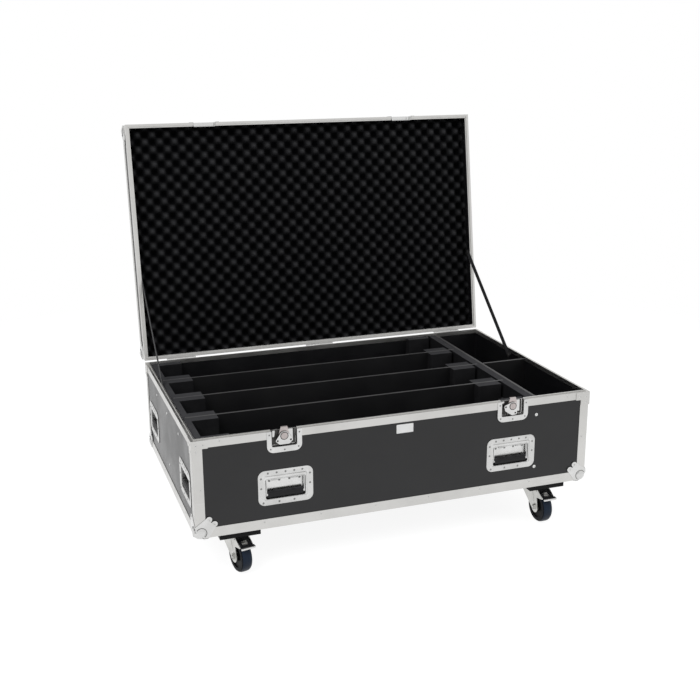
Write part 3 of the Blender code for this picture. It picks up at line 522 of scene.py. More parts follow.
def round_head(name, radius, sides, *steps):
    """A fastener's head: a disc drawn out in steps, each with its rise and its narrowing."""
    head = opened_primitive(name, bpy.ops.mesh.primitive_circle_add, vertices=sides, radius=radius,
                            fill_type="NGON")
    for rise, narrowing in steps:
        drawn_out(z=rise)
        scaled(narrowing, narrowing)
    return closed(head)


rivet = round_head("rivet", rivet_radius, 12,
                   (0.0006, 0.90), (0.0004, 0.62), (0.0001, 0.46), (-0.0006, 1.0))
rivet.data.materials.append(rivet_head)
rivet.data.materials.append(dark_steel_and_shade)
for face in rivet.data.polygons:
    reach = max(rivet.data.vertices[corner].co.xy.length for corner in face.vertices)
    face.material_index = 1 if reach < mandrel_radius else 0
smoothed(rivet, 50.0)


def rivets(name, places, body, model=None):
    """Copies of a fastener at all of these places, as one piece."""
    copies = [twin_of(model or rivet, name, place) for place in places]
    whole = joined_pieces(name, copies)
    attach(whole, body)
    return whole


# each side of the case: name, its left end as seen from outside, turn and length
case_sides = (
    ("front", (-half_width, 0.0), 0, case_width),
    ("right", (half_width, 0.0), 90, case_depth),
    ("back", (half_width, case_depth), 180, case_width),
    ("left", (-half_width, case_depth), -90, case_depth),
)
rail_rivets, rivet_spacing, corner_clearance = 0.0215, 0.170, 0.12
brace_rivets = [(0.079, 0.286, 0.0), (0.012, 0.280, 0.0015), (0.032, 0.280, 0.0015),
                (0.012, 0.261, 0.0015)]
post_rivet, rim_rivet_from_end, rim_rivet_up = (0.0206, 0.147, 0.0), 0.079, 0.0125


def along_rail(length):
    """Distances of the rivets along a rail: even steps from the middle, clear of the corners."""
    steps = [0.085 + rivet_spacing * step for step in range(4)]
    return [length / 2 + side * step for step in steps for side in (-1, 1)
            if step < length / 2 - corner_clearance]


base_rivets, lid_rivets = [], []
for side, (x, y), turn, length in case_sides:
    lower = case @ onto_side((x, y, base_bottom), turn)
    upper = lid_open @ onto_side((x, y, rim_bottom), turn)
    lid_face = (lid_open @ Matrix.Translation((x, y, lid_top))
                @ Matrix.Rotation(math.radians(turn), 4, "Z"))
    spots = [(along, rail_rivets, 0.0) for along in along_rail(length)]
    for end in (0, 1):
        spots += [(length - along if end else along, up, out)
                  for along, up, out in (post_rivet, *brace_rivets)]
    base_rivets += [lower @ Matrix.Translation(spot) for spot in spots]
    for along in along_rail(length):
        lid_rivets.append(upper @ Matrix.Translation((along, lid_depth - rail_rivets, 0.0)))
        lid_rivets.append(lid_face @ Matrix.Translation((along, rail_rivets, 0.0)))
    for along in (rim_rivet_from_end, length - rim_rivet_from_end):
        lid_rivets.append(upper @ Matrix.Translation((along, rim_rivet_up, 0.0)))
rivets("base_rail_rivets", base_rivets, "base")
rivets("lid_rail_rivets", lid_rivets, "lid")

# Ball corners: pressed steel, one at each of the eight corners. A ball stands out of the corner and
# a two-lobed plate with two rivets runs out over each of the three faces.

zinc = handled("zinc_plated_steel", (0.66, 0.66, 0.655), (0.55, 0.55, 0.54), 0.30, 0.07, 500.0,
               0.00002, metallic=1.0, dust=0.7, scratched=(0.80, 0.80, 0.79), clouds=16.0)
plate_back, plate_face = 0.0002, 0.0018
ball_radius, ball_inset, ball_back = 0.0226, 0.0165, 0.0155
plate_reach, plate_foot, lobe_edge = 0.0595, 0.036, 0.0322
lobe_spots, lobe_radius = ((0.040, 0.055), (0.055, 0.040)), 0.009
shade_ring_radius, shade_ring_wire, shade_ring_gap = 0.0157, 0.0010, 0.003
slope_face, slope_back, slope_block = 0.0194, 0.0217, 0.030
diagonal = (1.0, 1.0, 1.0)
outwards = (-1.0, -1.0, -1.0)
onto_faces = [Matrix.Rotation(math.radians(120 * step), 4, diagonal) for step in range(3)]


def halved(point, normal, fill=True):
    """Cuts all of the open piece with a plane and drops what lies on the normal's side."""
    bpy.ops.mesh.select_all(action="SELECT")
    bpy.ops.mesh.bisect(plane_co=point, plane_no=normal, clear_outer=True, use_fill=fill)


def merged(body, tools, operation="UNION"):
    """Joins tools to a piece or cuts them from it."""
    for tool in tools:
        worked(body, "BOOLEAN", object=tool, operation=operation, solver="EXACT")
    dropped(*tools)
    return body


def disc(name, radius, low, high, x=0.0, y=0.0, sides=32):
    """A flat round piece about an upright axis, from low to high."""
    piece = opened_primitive(name, bpy.ops.mesh.primitive_cylinder_add, vertices=sides,
                             radius=radius, depth=high - low)
    shifted(x, y, (low + high) / 2)
    return closed(piece)


size = plate_reach + plate_face
plate = opened_primitive("corner_plate", bpy.ops.mesh.primitive_cube_add, size=1.0)
scaled(size, size, plate_face - plate_back)
shifted(size / 2 - plate_face, size / 2 - plate_face, -(plate_face + plate_back) / 2)
halved((plate_foot, -plate_face, 0.0), (lobe_edge + plate_face, -(plate_reach - plate_foot), 0.0))
halved((-plate_face, plate_foot, 0.0), (-(plate_reach - plate_foot), lobe_edge + plate_face, 0.0))
halved((plate_reach, lobe_edge, 0.0), (1.0, 1.0, 0.0))
halved((slope_face, 0.0, 0.0), outwards)
closed(plate)
merged(plate, [disc("lobe", lobe_radius, -plate_face, -plate_back, x, y) for x, y in lobe_spots])

# the short edges that the lobes leave would spoil the rounding, so they are merged first
opened(plate)
bpy.ops.mesh.remove_doubles(threshold=0.0008)
bpy.ops.mesh.dissolve_limited(angle_limit=math.radians(2.0))
softened(closed(plate), 0.0003)
corner_parts = []
for turned in onto_faces:
    corner_parts.append(twin_of(plate, "corner_plate", turned))
    for x, y in lobe_spots:
        seat = turned @ Matrix.Translation((x, y, -plate_face)) @ Matrix.Rotation(math.pi, 4, "X")
        corner_parts.append(twin_of(rivet, "corner_rivet", seat))
dropped(plate)

# the tip is pressed flat across the corner, and the ball stands out of it
tip = opened_primitive("corner_tip", bpy.ops.mesh.primitive_cube_add,
                       size=slope_block + plate_face)
shifted(*[(slope_block - plate_face) / 2] * 3)
halved((slope_face, 0.0, 0.0), outwards)
halved((slope_back, 0.0, 0.0), diagonal)
closed(tip)
corner_parts.append(softened(tip, 0.0004))
ball = opened_primitive("corner_ball", bpy.ops.mesh.primitive_uv_sphere_add, segments=40,
                        ring_count=24, radius=ball_radius)
shifted(ball_inset, ball_inset, ball_inset)
halved((ball_back, ball_back, ball_back), diagonal)
closed(ball)
corner_parts.append(smoothed(ball, 60.0))
# each face gets a thin ring round the ball, painted dark: a painted shadow line where the ball
# meets the plates
for turned in onto_faces:
    shade_ring = opened_primitive("corner_shade_ring", bpy.ops.mesh.primitive_torus_add,
                              major_radius=shade_ring_radius, minor_radius=shade_ring_wire,
                              major_segments=48, minor_segments=8)
    shifted(ball_inset, ball_inset, -plate_face)
    halved((ball_inset, ball_inset - shade_ring_gap, 0.0), (-1.0, -1.0, 0.0))
    closed(shade_ring)
    smoothed(shade_ring, 60.0)
    shade_ring.data.transform(turned)
    shade_ring.data.materials.append(dark_steel_and_shade)
    corner_parts.append(shade_ring)
for part in corner_parts:
    if not part.data.materials:
        part.data.materials.append(zinc)
corner = joined_pieces("ball_corner_model", corner_parts)

turned_over = (lid_open @ Matrix.Translation((0.0, case_depth, lid_top))
               @ Matrix.Rotation(math.pi, 4, "X"))
for name, x, y, turn in (("front_left", -half_width, 0.0, 0),
                         ("front_right", half_width, 0.0, 90),
                         ("back_right", half_width, case_depth, 180),
                         ("back_left", -half_width, case_depth, -90)):
    turned = Matrix.Translation((x, y, 0.0)) @ Matrix.Rotation(math.radians(turn), 4, "Z")
    raised = case @ Matrix.Translation((0.0, 0.0, base_bottom))
    finished(twin_of(corner, f"pressed_corner_{name}", raised @ turned), "base", "zinc_steel",
             replaces=[f"ball_corner_{name}"])
    finished(twin_of(corner, f"pressed_lid_corner_{name}", turned_over @ turned), "lid",
             "zinc_steel")
dropped(corner)

# Spring handles: a pressed steel dish riveted into the panel, and in it a steel bail that turns on
# a rod with a coil spring at each side and carries a ribbed rubber grip.

dish_sheet, dish_face = 0.0012, -0.0003


def pick_folds(outward, test):
    """Selects the sharp edges of the open piece that stand out, or lie in, and pass the test."""
    bpy.ops.mesh.select_mode(type="EDGE")
    bpy.ops.mesh.select_all(action="DESELECT")
    shell = bmesh.from_edit_mesh(bpy.context.object.data)
    shell.normal_update()
    for edge in shell.edges:
        sharp = len(edge.link_faces) == 2 and edge.calc_face_angle() > 1.0
        edge.select_set(sharp and edge.is_convex == outward
                        and test(edge.verts[0].co, edge.verts[1].co))
    shell.select_flush_mode()
    bmesh.update_edit_mesh(bpy.context.object.data)


def pressed_dish(name, low, high, round_low, round_high, pockets, face):
    """A dish of pressed sheet drawn flat: a flange from low to high and pockets one inside the
    other, each given by the corners of its mouth and its depth. A corner radius of zero leaves
    that end of the flange straight and the pocket open there.
    """
    dish = opened_primitive(name, bpy.ops.mesh.primitive_plane_add, size=1.0)
    scaled(high[0] - low[0], high[1] - low[1])
    shifted((low[0] + high[0]) / 2, (low[1] + high[1]) / 2)
    middle = (low[1] + high[1]) / 2
    pick("VERT", lambda spot: (round_low if spot.y < middle else round_high) > 0)
    bpy.ops.mesh.bevel(offset=round_low or round_high, segments=10, affect="VERTICES",
                       clamp_overlap=False)
    for mouth_low, mouth_high, depth in pockets:
        for axis in (0, 1):
            for edge in (mouth_low[axis], mouth_high[axis]):
                if low[axis] < edge < high[axis]:
                    way = [0.0, 0.0, 0.0]
                    way[axis] = 1.0
                    bpy.ops.mesh.select_all(action="SELECT")
                    bpy.ops.mesh.bisect(plane_co=Vector(way) * edge, plane_no=way)
    open_end = low[1] if round_low == 0 else high[1] if round_high == 0 else None
    sunk = 0.0
    for mouth_low, mouth_high, depth in pockets:
        pick("FACE", lambda spot, normal: mouth_low[0] < spot.x < mouth_high[0]
             and mouth_low[1] < spot.y < mouth_high[1])
        drawn_out(z=sunk - depth)
        at = (mouth_low[1] + mouth_high[1]) / 2 if open_end is None else open_end
        draft = 1.0 - 0.10 * (depth - sunk) / (mouth_high[0] - mouth_low[0])
        scaled(draft, draft, about=(0.0, at, 0.0))
        sunk = depth
    if open_end is not None:
        pick("FACE", lambda spot, normal: abs(spot.y - open_end) < 0.0005 and spot.z < -sunk / 4)
        bpy.ops.mesh.delete(type="FACE")
    pick_folds(False, lambda a, b: abs(a.z - b.z) > 0.0005)
    bpy.ops.mesh.bevel(offset=0.005, segments=4, affect="EDGES")
    pick_folds(False, lambda a, b: max(a.z, b.z) < -sunk * 0.95)
    bpy.ops.mesh.bevel(offset=0.0028, segments=3, affect="EDGES")
    if len(pockets) > 1:
        pick_folds(True, lambda a, b: min(a.z, b.z) > -0.0001)
        bpy.ops.mesh.bevel(offset=0.0004, segments=2, affect="EDGES")
        pick_folds(True, lambda a, b: max(a.z, b.z) < -0.0001)
    else:
        pick_folds(True, lambda a, b: True)
    bpy.ops.mesh.bevel(offset=0.0014, segments=3, affect="EDGES")
    bpy.ops.mesh.select_all(action="SELECT")
    shifted(z=face)
    closed(dish)
    worked(dish, "SOLIDIFY", thickness=dish_sheet, offset=-1.0, use_even_offset=True)
    return softened(dish, 0.0003, 2, 50.0)


def rod_across(name, radius, half_length, x=0.0, y=0.0, z=0.0, sides=24):
    """A round bar that runs along x."""
    piece = opened_primitive(name, bpy.ops.mesh.primitive_cylinder_add, vertices=sides,
                             radius=radius, depth=half_length * 2)
    bpy.ops.transform.rotate(value=math.radians(90), orient_axis="Y",
                             center_override=(0.0, 0.0, 0.0))
    shifted(x, y, z)
    return closed(piece)


handle_half_width, handle_half_height, flange_corner = 0.0815, 0.0530, 0.020
step_low, step_high, step_depth = (-0.0628, -0.0355), (0.0628, 0.0358), 0.0010
pocket_low, pocket_high, pocket_depth = (-0.0590, -0.0345), (0.0590, 0.0265), 0.0147
pivot_up, pivot_back = 0.024, 0.007
grip_drop, grip_half_length = 0.0465, 0.0525
arm_place, arm_thickness, arm_width = 0.0562, 0.003, 0.008

rubber = handled("ribbed_rubber", (0.0055, 0.0055, 0.0065), (0.010, 0.010, 0.011), 0.52, 0.06,
                 900.0, 0.00004, dust=0.6, worn=(0.14, 0.14, 0.15), clouds=30.0, radius=0.0016,
                 Specular_IOR_Level=0.25)
# dull steel for the dish rivets, and also the painted shade on the walls of the handle dish's
# pocket
dull_steel_and_shade = handled("dull_steel_and_shade", (0.30, 0.30, 0.295), (0.20, 0.20, 0.195), 0.42, 0.06, 700.0,
                     0.00001, metallic=1.0)
dull_rivet = twin_of(rivet, "dull_rivet", Matrix.Identity(4))
dull_rivet.data.materials[0] = dull_steel_and_shade


def dull_rivets(name, spots, height, size):
    """Loose copies of the dull rivet on a fitting drawn flat, at each x and y."""
    return [twin_of(dull_rivet, name, Matrix.Translation((x, y, height)) @ Matrix.Scale(size, 4))
            for x, y in spots]


dish = pressed_dish("handle_dish_model", (-handle_half_width, -handle_half_height),
                    (handle_half_width, handle_half_height), flange_corner, flange_corner,
                    [(step_low, step_high, step_depth), (pocket_low, pocket_high, pocket_depth)],
                    dish_face)
dish.data.materials.append(zinc)
dish.data.materials.append(dull_steel_and_shade)
dish.data.materials.append(dark_steel_and_shade)

# the pocket's walls are painted darker than its face, as painted shade in the recess, and darkest
# beside the grip, as the grip's painted shadow
for face in dish.data.polygons:
    if face.center.z < dish_face - 0.0004 and abs(face.normal.z) < 0.75:
        shadow_beside_grip = abs(face.normal.x) > 0.6 and abs(face.center.z + pivot_back) < 0.005
        face.material_index = 2 if shadow_beside_grip else 1
dish_spots = [(x, 0.0448) for x in (-0.052, -0.026, 0.0, 0.026, 0.050)]
dish_spots += [(side * 0.0725, y) for side in (-1, 1) for y in (0.030, 0.0)]
dish_spots += [(x, -0.0445) for x in (-0.067, -0.020, 0.025)]
dish_rivets = dull_rivets("dish_rivet", dish_spots, dish_face, 0.85)
dish_rivets += dull_rivets("dish_back_rivet", [(x, 0.0155) for x in (-0.045, -0.015, 0.015, 0.045)],
                           dish_face - pocket_depth, 1.0)

# the rod and its two coil springs, wound from round wire
coil_radius, coil_wire, coil_start, coil_pitch, coil_turns = 0.0039, 0.0008, 0.018, 0.0018, 13
coils = []
for side in (-1, 1):
    for turn in range(coil_turns):
        coil = opened_primitive("spring_turn", bpy.ops.mesh.primitive_torus_add,
                                major_radius=coil_radius, minor_radius=coil_wire,
                                major_segments=16, minor_segments=6)
        bpy.ops.transform.rotate(value=math.radians(94), orient_axis="Y",
                                 center_override=(0.0, 0.0, 0.0))
        shifted(x=side * (coil_start + coil_pitch * turn))
        closed(coil)
        coils.append(smoothed(coil, 60.0))
bail_rod = smoothed(rod_across("bail_rod", 0.0025, arm_place + 0.0021), 60.0)
springs = joined_pieces("bail_springs", [bail_rod, *coils])
springs.data.materials.append(zinc)
to_pivot = Matrix.Translation((0.0, pivot_up, -pivot_back))
springs.data.transform(to_pivot)
fixed = joined_pieces("handle_fixed_model", [dish, springs, *dish_rivets])

# the bail's two flat arms and the grip moulded round its lower bar
arms = []
for side in (-1, 1):
    arm = opened_primitive("bail_arm", bpy.ops.mesh.primitive_cube_add, size=1.0)
    scaled(arm_thickness, grip_drop, arm_width)
    shifted(x=side * arm_place, y=-grip_drop / 2)
    closed(arm)
    ends = [rod_across("bail_end", radius, arm_thickness / 2, side * arm_place, y)
            for radius, y in ((0.0050, 0.0), (0.0052, -grip_drop))]
    arms.append(softened(merged(arm, ends), 0.0006))
bar = softened(rod_across("bail_bar", 0.0042, arm_place, y=-grip_drop), 0.0005)
bail = joined_pieces("bail_steel", [*arms, bar])
bail.data.materials.append(zinc)

# ten shallow ribs run along the grip, which is flattened to fit a hand
grip_sides = 40
grip = opened(rod_across("grip_rubber", 1.0, grip_half_length, sides=grip_sides))
pick("VERT", lambda spot: round(math.atan2(spot.z, spot.y) / math.tau * grip_sides) % 4 in (0, 1))
scaled(1.0, 0.88, 0.88)
bpy.ops.mesh.select_all(action="SELECT")
scaled(1.0, 0.0115, 0.0062)
pick("FACE", lambda spot, normal: abs(normal.x) > 0.9)
bpy.ops.mesh.inset(thickness=0.0012)
bpy.ops.mesh.select_all(action="SELECT")
shifted(y=-grip_drop)
closed(grip)
softened(grip, 0.0006, 2, 45.0)
grip.data.materials.append(rubber)
hung_grip = joined_pieces("handle_grip_model", [grip, bail])
hung_grip.data.transform(to_pivot)

handle_height, front_inset, side_inset = base_bottom + 0.1245, 0.266, 0.128
both_hands = (("left", -1), ("right", 1))
handle_places = [(f"front_{side}", (sign * (half_width - front_inset), 0.0, handle_height), 0)
                 for side, sign in both_hands]
handle_places += [(f"{side}_{end}", (sign * half_width, along, handle_height), sign * 90)
                  for side, sign in both_hands
                  for end, along in (("front", side_inset), ("back", case_depth - side_inset))]
for name, spot, turn in handle_places:
    seat = case @ onto_side(spot, turn)
    finished(twin_of(fixed, f"pressed_handle_{name}", seat), "base", "zinc_steel",
             replaces=[f"handle_dish_{name}"])
    finished(twin_of(hung_grip, f"spring_grip_{name}", seat), f"grip_{name}", "black_rubber",
             replaces=[f"handle_grip_{name}"])
dropped(fixed, hung_grip)

# Latches: a pressed dish sunk in the lip and the front panel holds each one. A hook on a pin pulls
# the lid down, and a slotted disc turns it by the butterfly plate that lies round the disc.

latch_inset, key_drop, hook_pin_drop, hook_pin_depth = 0.265, 0.017, 0.036, 0.0055
latch_face, latch_floor, mechanism_low, mechanism_high = 0.0015, 0.0145, -0.0131, -0.0122
latch_half, latch_drop, latch_pocket_half, latch_pocket_drop = 0.0515, 0.0645, 0.0370, 0.0475
catch_rise, catch_corner, catch_pocket_rise, mouth_gap = 0.0445, 0.016, 0.0262, 0.0008
cheek_low, cheek_high, latch_rivet_size = -0.0124, -0.0095, 0.72
blade_back, blade_face, hook_lean = -0.009, -0.007, math.radians(8.0)
finger_holes, plate_half_thickness = ((-0.0196, -0.0136), (0.0190, -0.0130)), 0.0008
hook_steel = handled("hook_steel", (0.50, 0.45, 0.44), (0.42, 0.385, 0.375), 0.34, 0.06, 500.0,
                     0.00002, metallic=1.0, dust=0.7, scratched=(0.70, 0.66, 0.65), clouds=30.0)


def block(name, low, high):
    """A straight-sided piece between two corners, for cutting or rounding."""
    piece = opened_primitive(name, bpy.ops.mesh.primitive_cube_add, size=1.0)
    scaled(*[above - below for below, above in zip(low, high)])
    shifted(*[(above + below) / 2 for below, above in zip(low, high)])
    return closed(piece)


def hull_plate(name, spots, low, high, sides=20):
    """A flat plate from low to high whose outline runs tightly round circles at (x, y, radius)."""
    rounds = [disc("outline_round", radius, low, high, x, y, sides) for x, y, radius in spots]
    plate = opened(joined_pieces(name, rounds))
    bpy.ops.mesh.convex_hull(use_existing_faces=False)
    bpy.ops.mesh.select_all(action="SELECT")
    bpy.ops.mesh.dissolve_limited(angle_limit=flat_angle)
    return closed(plate)


def painted(piece, *materials):
    piece.data.materials.clear()
    for material in materials:
        piece.data.materials.append(material)
    return piece


def both_sides(x, y, radius):
    return [(-x, y, radius), (x, y, radius)]


def deburred(piece, radius, finish, steps=2):
    """Rounds a part's edges and gives it its finish."""
    return painted(softened(piece, radius, steps), finish)


def at_hook_pin(name, radius, half_length):
    return rod_across(name, radius, half_length, y=-hook_pin_drop, z=-hook_pin_depth)


dish = pressed_dish("latch_dish_model", (-latch_half, -latch_drop), (latch_half, -0.0003),
                    flange_corner, 0.0,
                    [((-latch_pocket_half, -latch_pocket_drop), (latch_pocket_half, 0.0),
                      latch_floor)], latch_face)
# a dark plate over the pocket's floor is painted shade in the recess round the hook
back = block("mechanism_shade_back", (-0.0345, -0.0450, mechanism_low), (0.0345, -0.0006, mechanism_high))
cheeks = []
for corners in (((-0.0305, -0.0040), (-0.0265, -0.0040), (-0.0305, -0.0190), (-0.0285, -0.0190)),
                ((0.0150, -0.0030), (0.0262, -0.0030), (0.0150, -0.0360), (0.0262, -0.0360))):
    rounding = 0.0020 if corners[0][0] < 0 else 0.0015
    cheeks.append(hull_plate("mechanism_cheek", [(x, y, rounding) for x, y in corners],
                             cheek_low, cheek_high))
for x in (-0.013, 0.013):
    cheeks.append(block("hook_lug", (x - 0.002, -0.040, cheek_low), (x + 0.002, -0.032, -0.0036)))
cheeks = [deburred(cheek, 0.0006, zinc) for cheek in cheeks]
pin = deburred(at_hook_pin("hook_pin", 0.0021, 0.0160), 0.0004, zinc)
latch_spots = [(side * x, y) for side in (-1, 1) for x, y in ((0.044, -0.010), (0.041, -0.053))]
latch_rivets = dull_rivets("latch_rivet", [*latch_spots, (0.0, -0.0575)], latch_face,
                           latch_rivet_size)
latch_fixed = joined_pieces("latch_fixed_model", [painted(dish, zinc), painted(back, dark_steel_and_shade),
                                                  *cheeks, pin, *latch_rivets])

# the hook: a blade that widens downwards, its top bent inwards over the lid's ledge
blade = hull_plate("latch_hook_model",
                   both_sides(0.0088, 0.0086, 0.0013) + both_sides(0.0145, -0.0165, 0.0020)
                   + both_sides(0.0145, -0.0225, 0.0020), blade_back, blade_face)
stem = both_sides(0.0085, -0.0220, 0.0014) + both_sides(0.0085, -0.0350, 0.0014)
merged(blade, [
    hull_plate("hook_stem", stem, blade_back, blade_face),
    block("hook_tab", (-0.0100, 0.0079, -0.012), (0.0100, 0.0099, -0.0072)),
    at_hook_pin("hook_eye", 0.0045, 0.0098),
])
merged(blade, [
    at_hook_pin("hook_bore", 0.0024, 0.0300),
    hull_plate("hook_slot", [(0.0, -0.0112, 0.0042), (0.0, -0.0228, 0.0042)], -0.030, 0.010),
], "DIFFERENCE")
hook = deburred(blade, 0.0004, hook_steel)
hook.data.transform(Matrix.Translation((0.0, -hook_pin_drop, -hook_pin_depth))
                    @ Matrix.Rotation(hook_lean, 4, "X")
                    @ Matrix.Translation((0.0, hook_pin_drop, hook_pin_depth)))

# the butterfly plate with its finger holes, and the disc that turns with it, about its axis
wings = [(0.0, 0.0, 0.0136), *both_sides(0.0203, -0.0132, 0.0049),
         *both_sides(0.0126, -0.0206, 0.0046)]
butterfly = hull_plate("butterfly_plate", wings, -plate_half_thickness, plate_half_thickness)
merged(butterfly, [disc("disc_hole", 0.0119, -0.010, 0.010, sides=40)]
       + [disc("finger_hole", 0.0028, -0.010, 0.010, x, y) for x, y in finger_holes],
       "DIFFERENCE")
turned_bar = softened(hull_plate("disc_bar", both_sides(0.0070, 0.0, 0.0012), 0.0, 0.0025), 0.0003)
turned_bar.data.transform(Matrix.Rotation(math.radians(-52), 4, "Z"))
latch_key = joined_pieces("latch_key_model", [
    deburred(butterfly, 0.0004, zinc),
    deburred(disc("key_disc", 0.0099, -0.0020, 0.0016, sides=48), 0.0005, hook_steel),
    painted(turned_bar, hook_steel),
    painted(disc("disc_seat", 0.0123, -0.0026, -0.0012, sides=40), dark_steel_and_shade),
    painted(disc("disc_shaft", 0.0030, -0.0102, -0.0020), zinc),
    *[painted(disc("hole_shade", 0.0034, -0.0014, -0.0009, x, y), dark_steel_and_shade)
      for x, y in finger_holes],
])

# the lid's half: the same dish turned up, with the ledge that the hook pulls on
catch_dish = pressed_dish("latch_catch_model", (-latch_half, mouth_gap), (latch_half, catch_rise),
                          0.0, catch_corner,
                          [((-latch_pocket_half, 0.0), (latch_pocket_half, catch_pocket_rise),
                            latch_floor)], latch_face)
ledge = block("catch_ledge", (-0.014, 0.0055, mechanism_low), (0.014, 0.0077, -0.0094))
# a dark plate over the catch pocket's floor is painted shade in the recess
catch_shade_back = block("catch_shade_back", (-0.0320, 0.0012, mechanism_low), (0.0320, 0.0240, cheek_low))
catch_spots = [(side * 0.044, y) for side in (-1, 1) for y in (0.012, 0.034)]
catch_rivets = dull_rivets("catch_rivet", [*catch_spots, (0.0, 0.0375)], latch_face,
                           latch_rivet_size)
latch_catch = joined_pieces("latch_catch_model", [
    painted(catch_dish, zinc), deburred(ledge, 0.0004, zinc), painted(catch_shade_back, dark_steel_and_shade),
    *catch_rivets])

# the right key is left partly turned
wing_turn = {"left": 0.0, "right": -34.0}
for side, sign in both_hands:
    along = sign * (half_width - latch_inset)
    mouth = onto_side((along, 0.0, base_top), 0)
    axis = (case @ onto_side((along, 0.0, base_top - key_drop), 0)
            @ Matrix.Rotation(math.radians(wing_turn[side]), 4, "Z"))
    for model, name, place, body, node in (
        (latch_fixed, "pressed_latch", case @ mouth, "base", "latch_dish"),
        (hook, "bent_hook", case @ mouth, f"hook_{side}", "latch_hook"),
        (latch_key, "butterfly_key", axis, f"key_{side}", "latch_key"),
        (latch_catch, "pressed_catch", lid_open @ mouth, "lid", "latch_catch"),
    ):
        finished(twin_of(model, f"{name}_{side}", place), body, "zinc_steel",
                 replaces=[f"{node}_{side}"])
dropped(latch_fixed, hook, latch_key, latch_catch)

# Hinges: three steel leaf hinges riveted across the back, their knuckles on the line between the
# lid and the base.

leaf_rivet_up, leaf_rivet_step, leaf_face = 0.022, 0.036, 0.0018
for name in ("left", "centre", "right"):
    for body in ("base", "lid"):
        leaf = softened(retraced(f"hinge_{body}_half_{name}", f"hinge_{body}_leaf_{name}"),
                        0.0003, 2, 50.0)
        finished(leaf, body, "zinc_steel", zinc, replaces=[f"hinge_{body}_leaf_{name}"])
for body, seat, up in (("base", case, -leaf_rivet_up), ("lid", lid_open, leaf_rivet_up)):
    places = [seat @ onto_side((x + step, case_depth, base_top + up), 180)
              @ Matrix.Translation((0.0, 0.0, leaf_face))
              for x in (-0.5, 0.0, 0.5) for step in (-leaf_rivet_step, 0.0, leaf_rivet_step)]
    rivets(f"hinge_{body}_rivets", places, body)

# Name plate and screws: a bare white plate on the front panel, and white-headed screws that hold
# the dividers through the panels.

white_plate = handled("white_plate", (0.74, 0.74, 0.73), (0.66, 0.66, 0.64), 0.42, 0.05, 800.0,
                      0.00002, dust=0.5, clouds=40.0)
panel_inset, side_screw_size, slot_half, slot_length, slot_low = 0.0018, 0.8, 0.0005, 0.0022, 0.0008
plate_corners = both_sides(0.0250, 0.0120, 0.0015) + both_sides(0.0250, -0.0120, 0.0015)
plate = softened(hull_plate("blank_name_plate", plate_corners, 0.0, 0.0007), 0.0002)
plate.data.transform(case @ onto_side((-half_width + 0.6325, panel_inset, base_bottom + 0.2508), 0))
finished(plate, "base", "aluminium", white_plate)

screw = round_head("screw", 0.0050, 20, (0.0006, 1.0), (0.0008, 0.86), (0.0004, 0.60))
merged(screw, [block("cross", (-x, -y, slot_low), (x, y, 0.0100))
               for x, y in ((slot_length, slot_half), (slot_half, slot_length))], "DIFFERENCE")
painted(smoothed(screw, 40.0), white_plate)
screw_places = [case @ onto_side((0.4430, y, base_bottom + up), turn) for up in (0.239, 0.068)
                for y, turn in ((panel_inset, 0), (case_depth - panel_inset, 180))]
screw_places += [case @ onto_side((-half_width + panel_inset, y, base_bottom + up), -90)
                 @ Matrix.Scale(side_screw_size, 4)
                 for y, up in ((0.208, 0.243), (0.396, 0.243), (0.584, 0.243), (0.396, 0.073))]
rivets("divider_screws", screw_places, "base", screw)

# Dividers: laminated plywood boards slotted together in the base, their sawn top edges painted and
# rubbed paler than the faces.

divider_face = handled("divider_laminate", (0.0050, 0.0050, 0.0055), (0.0095, 0.0095, 0.010),
                       0.58, 0.06, 520.0, 0.00006, dust=0.6, Specular_IOR_Level=0.22)
divider_edge = handled("rubbed_board_edge", (0.045, 0.045, 0.046), (0.068, 0.066, 0.065), 0.62,
                       0.06, 700.0, 0.00010, dust=0.8, clouds=14.0)
for node in ("cross_divider", "short_divider",
             "long_divider_1", "long_divider_2", "long_divider_3"):
    board = softened(retraced(f"{node}_board", node), 0.0006)
    finished(board, "base", "black_laminate", divider_face, divider_edge, replaces=[node])
    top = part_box(node)[1].z
    for face in board.data.polygons:
        if face.normal.z > 0.7 and face.center.z > top - 0.001:
            face.material_index = 1

# End pads: charcoal foam cut to a comb of pads between the dividers, glued to the end wall and to
# the cross divider.

cells_group, cells_in, cells_out = new_group("open_cells", [("Cells", 900.0)], ["Height"])
place = surface_spot(cells_group)
cells = cells_group.nodes.new("ShaderNodeTexVoronoi")
link(cells_group, place, cells.inputs["Vector"])
link(cells_group, cells_in.outputs["Cells"], cells.inputs["Scale"])
coarse = noise_on(cells_group, place, 260.0, 3.0, 0.6)
pitted = calculated(cells_group, "ADD", cells.outputs["Distance"], coarse)
link(cells_group, ramp(cells_group, pitted, 0.3, 1.4), cells_out.inputs["Height"])
foam_dust, foam_cells, foam_relief = 0.7, 900.0, 0.0009


def foam(name, colour, dusty, hollow_shade=None):
    """Open-cell foam; a piece with a hollow attribute is painted darker where that is high: painted
    shade in its hollows.
    """
    material, tree, shader = new_finish(name, 0.95, Specular_IOR_Level=0.03)
    marks = placed_group(tree, handling_group, Clouds=12.0)
    result = blended(tree, marks.outputs["Dust"], colour, dusty, foam_dust)
    if hollow_shade:
        depth = tree.nodes.new("ShaderNodeAttribute")
        depth.attribute_name = "hollow_shade"
        result = blended(tree, depth.outputs["Fac"], result, hollow_shade)
    link(tree, result, shader.inputs["Base Color"])
    pores = placed_group(tree, cells_group, Cells=foam_cells)
    relief(tree, shader, pores.outputs["Height"], foam_relief)
    return material


pad_foam = foam("charcoal_foam", (0.012, 0.012, 0.013), (0.020, 0.020, 0.021))
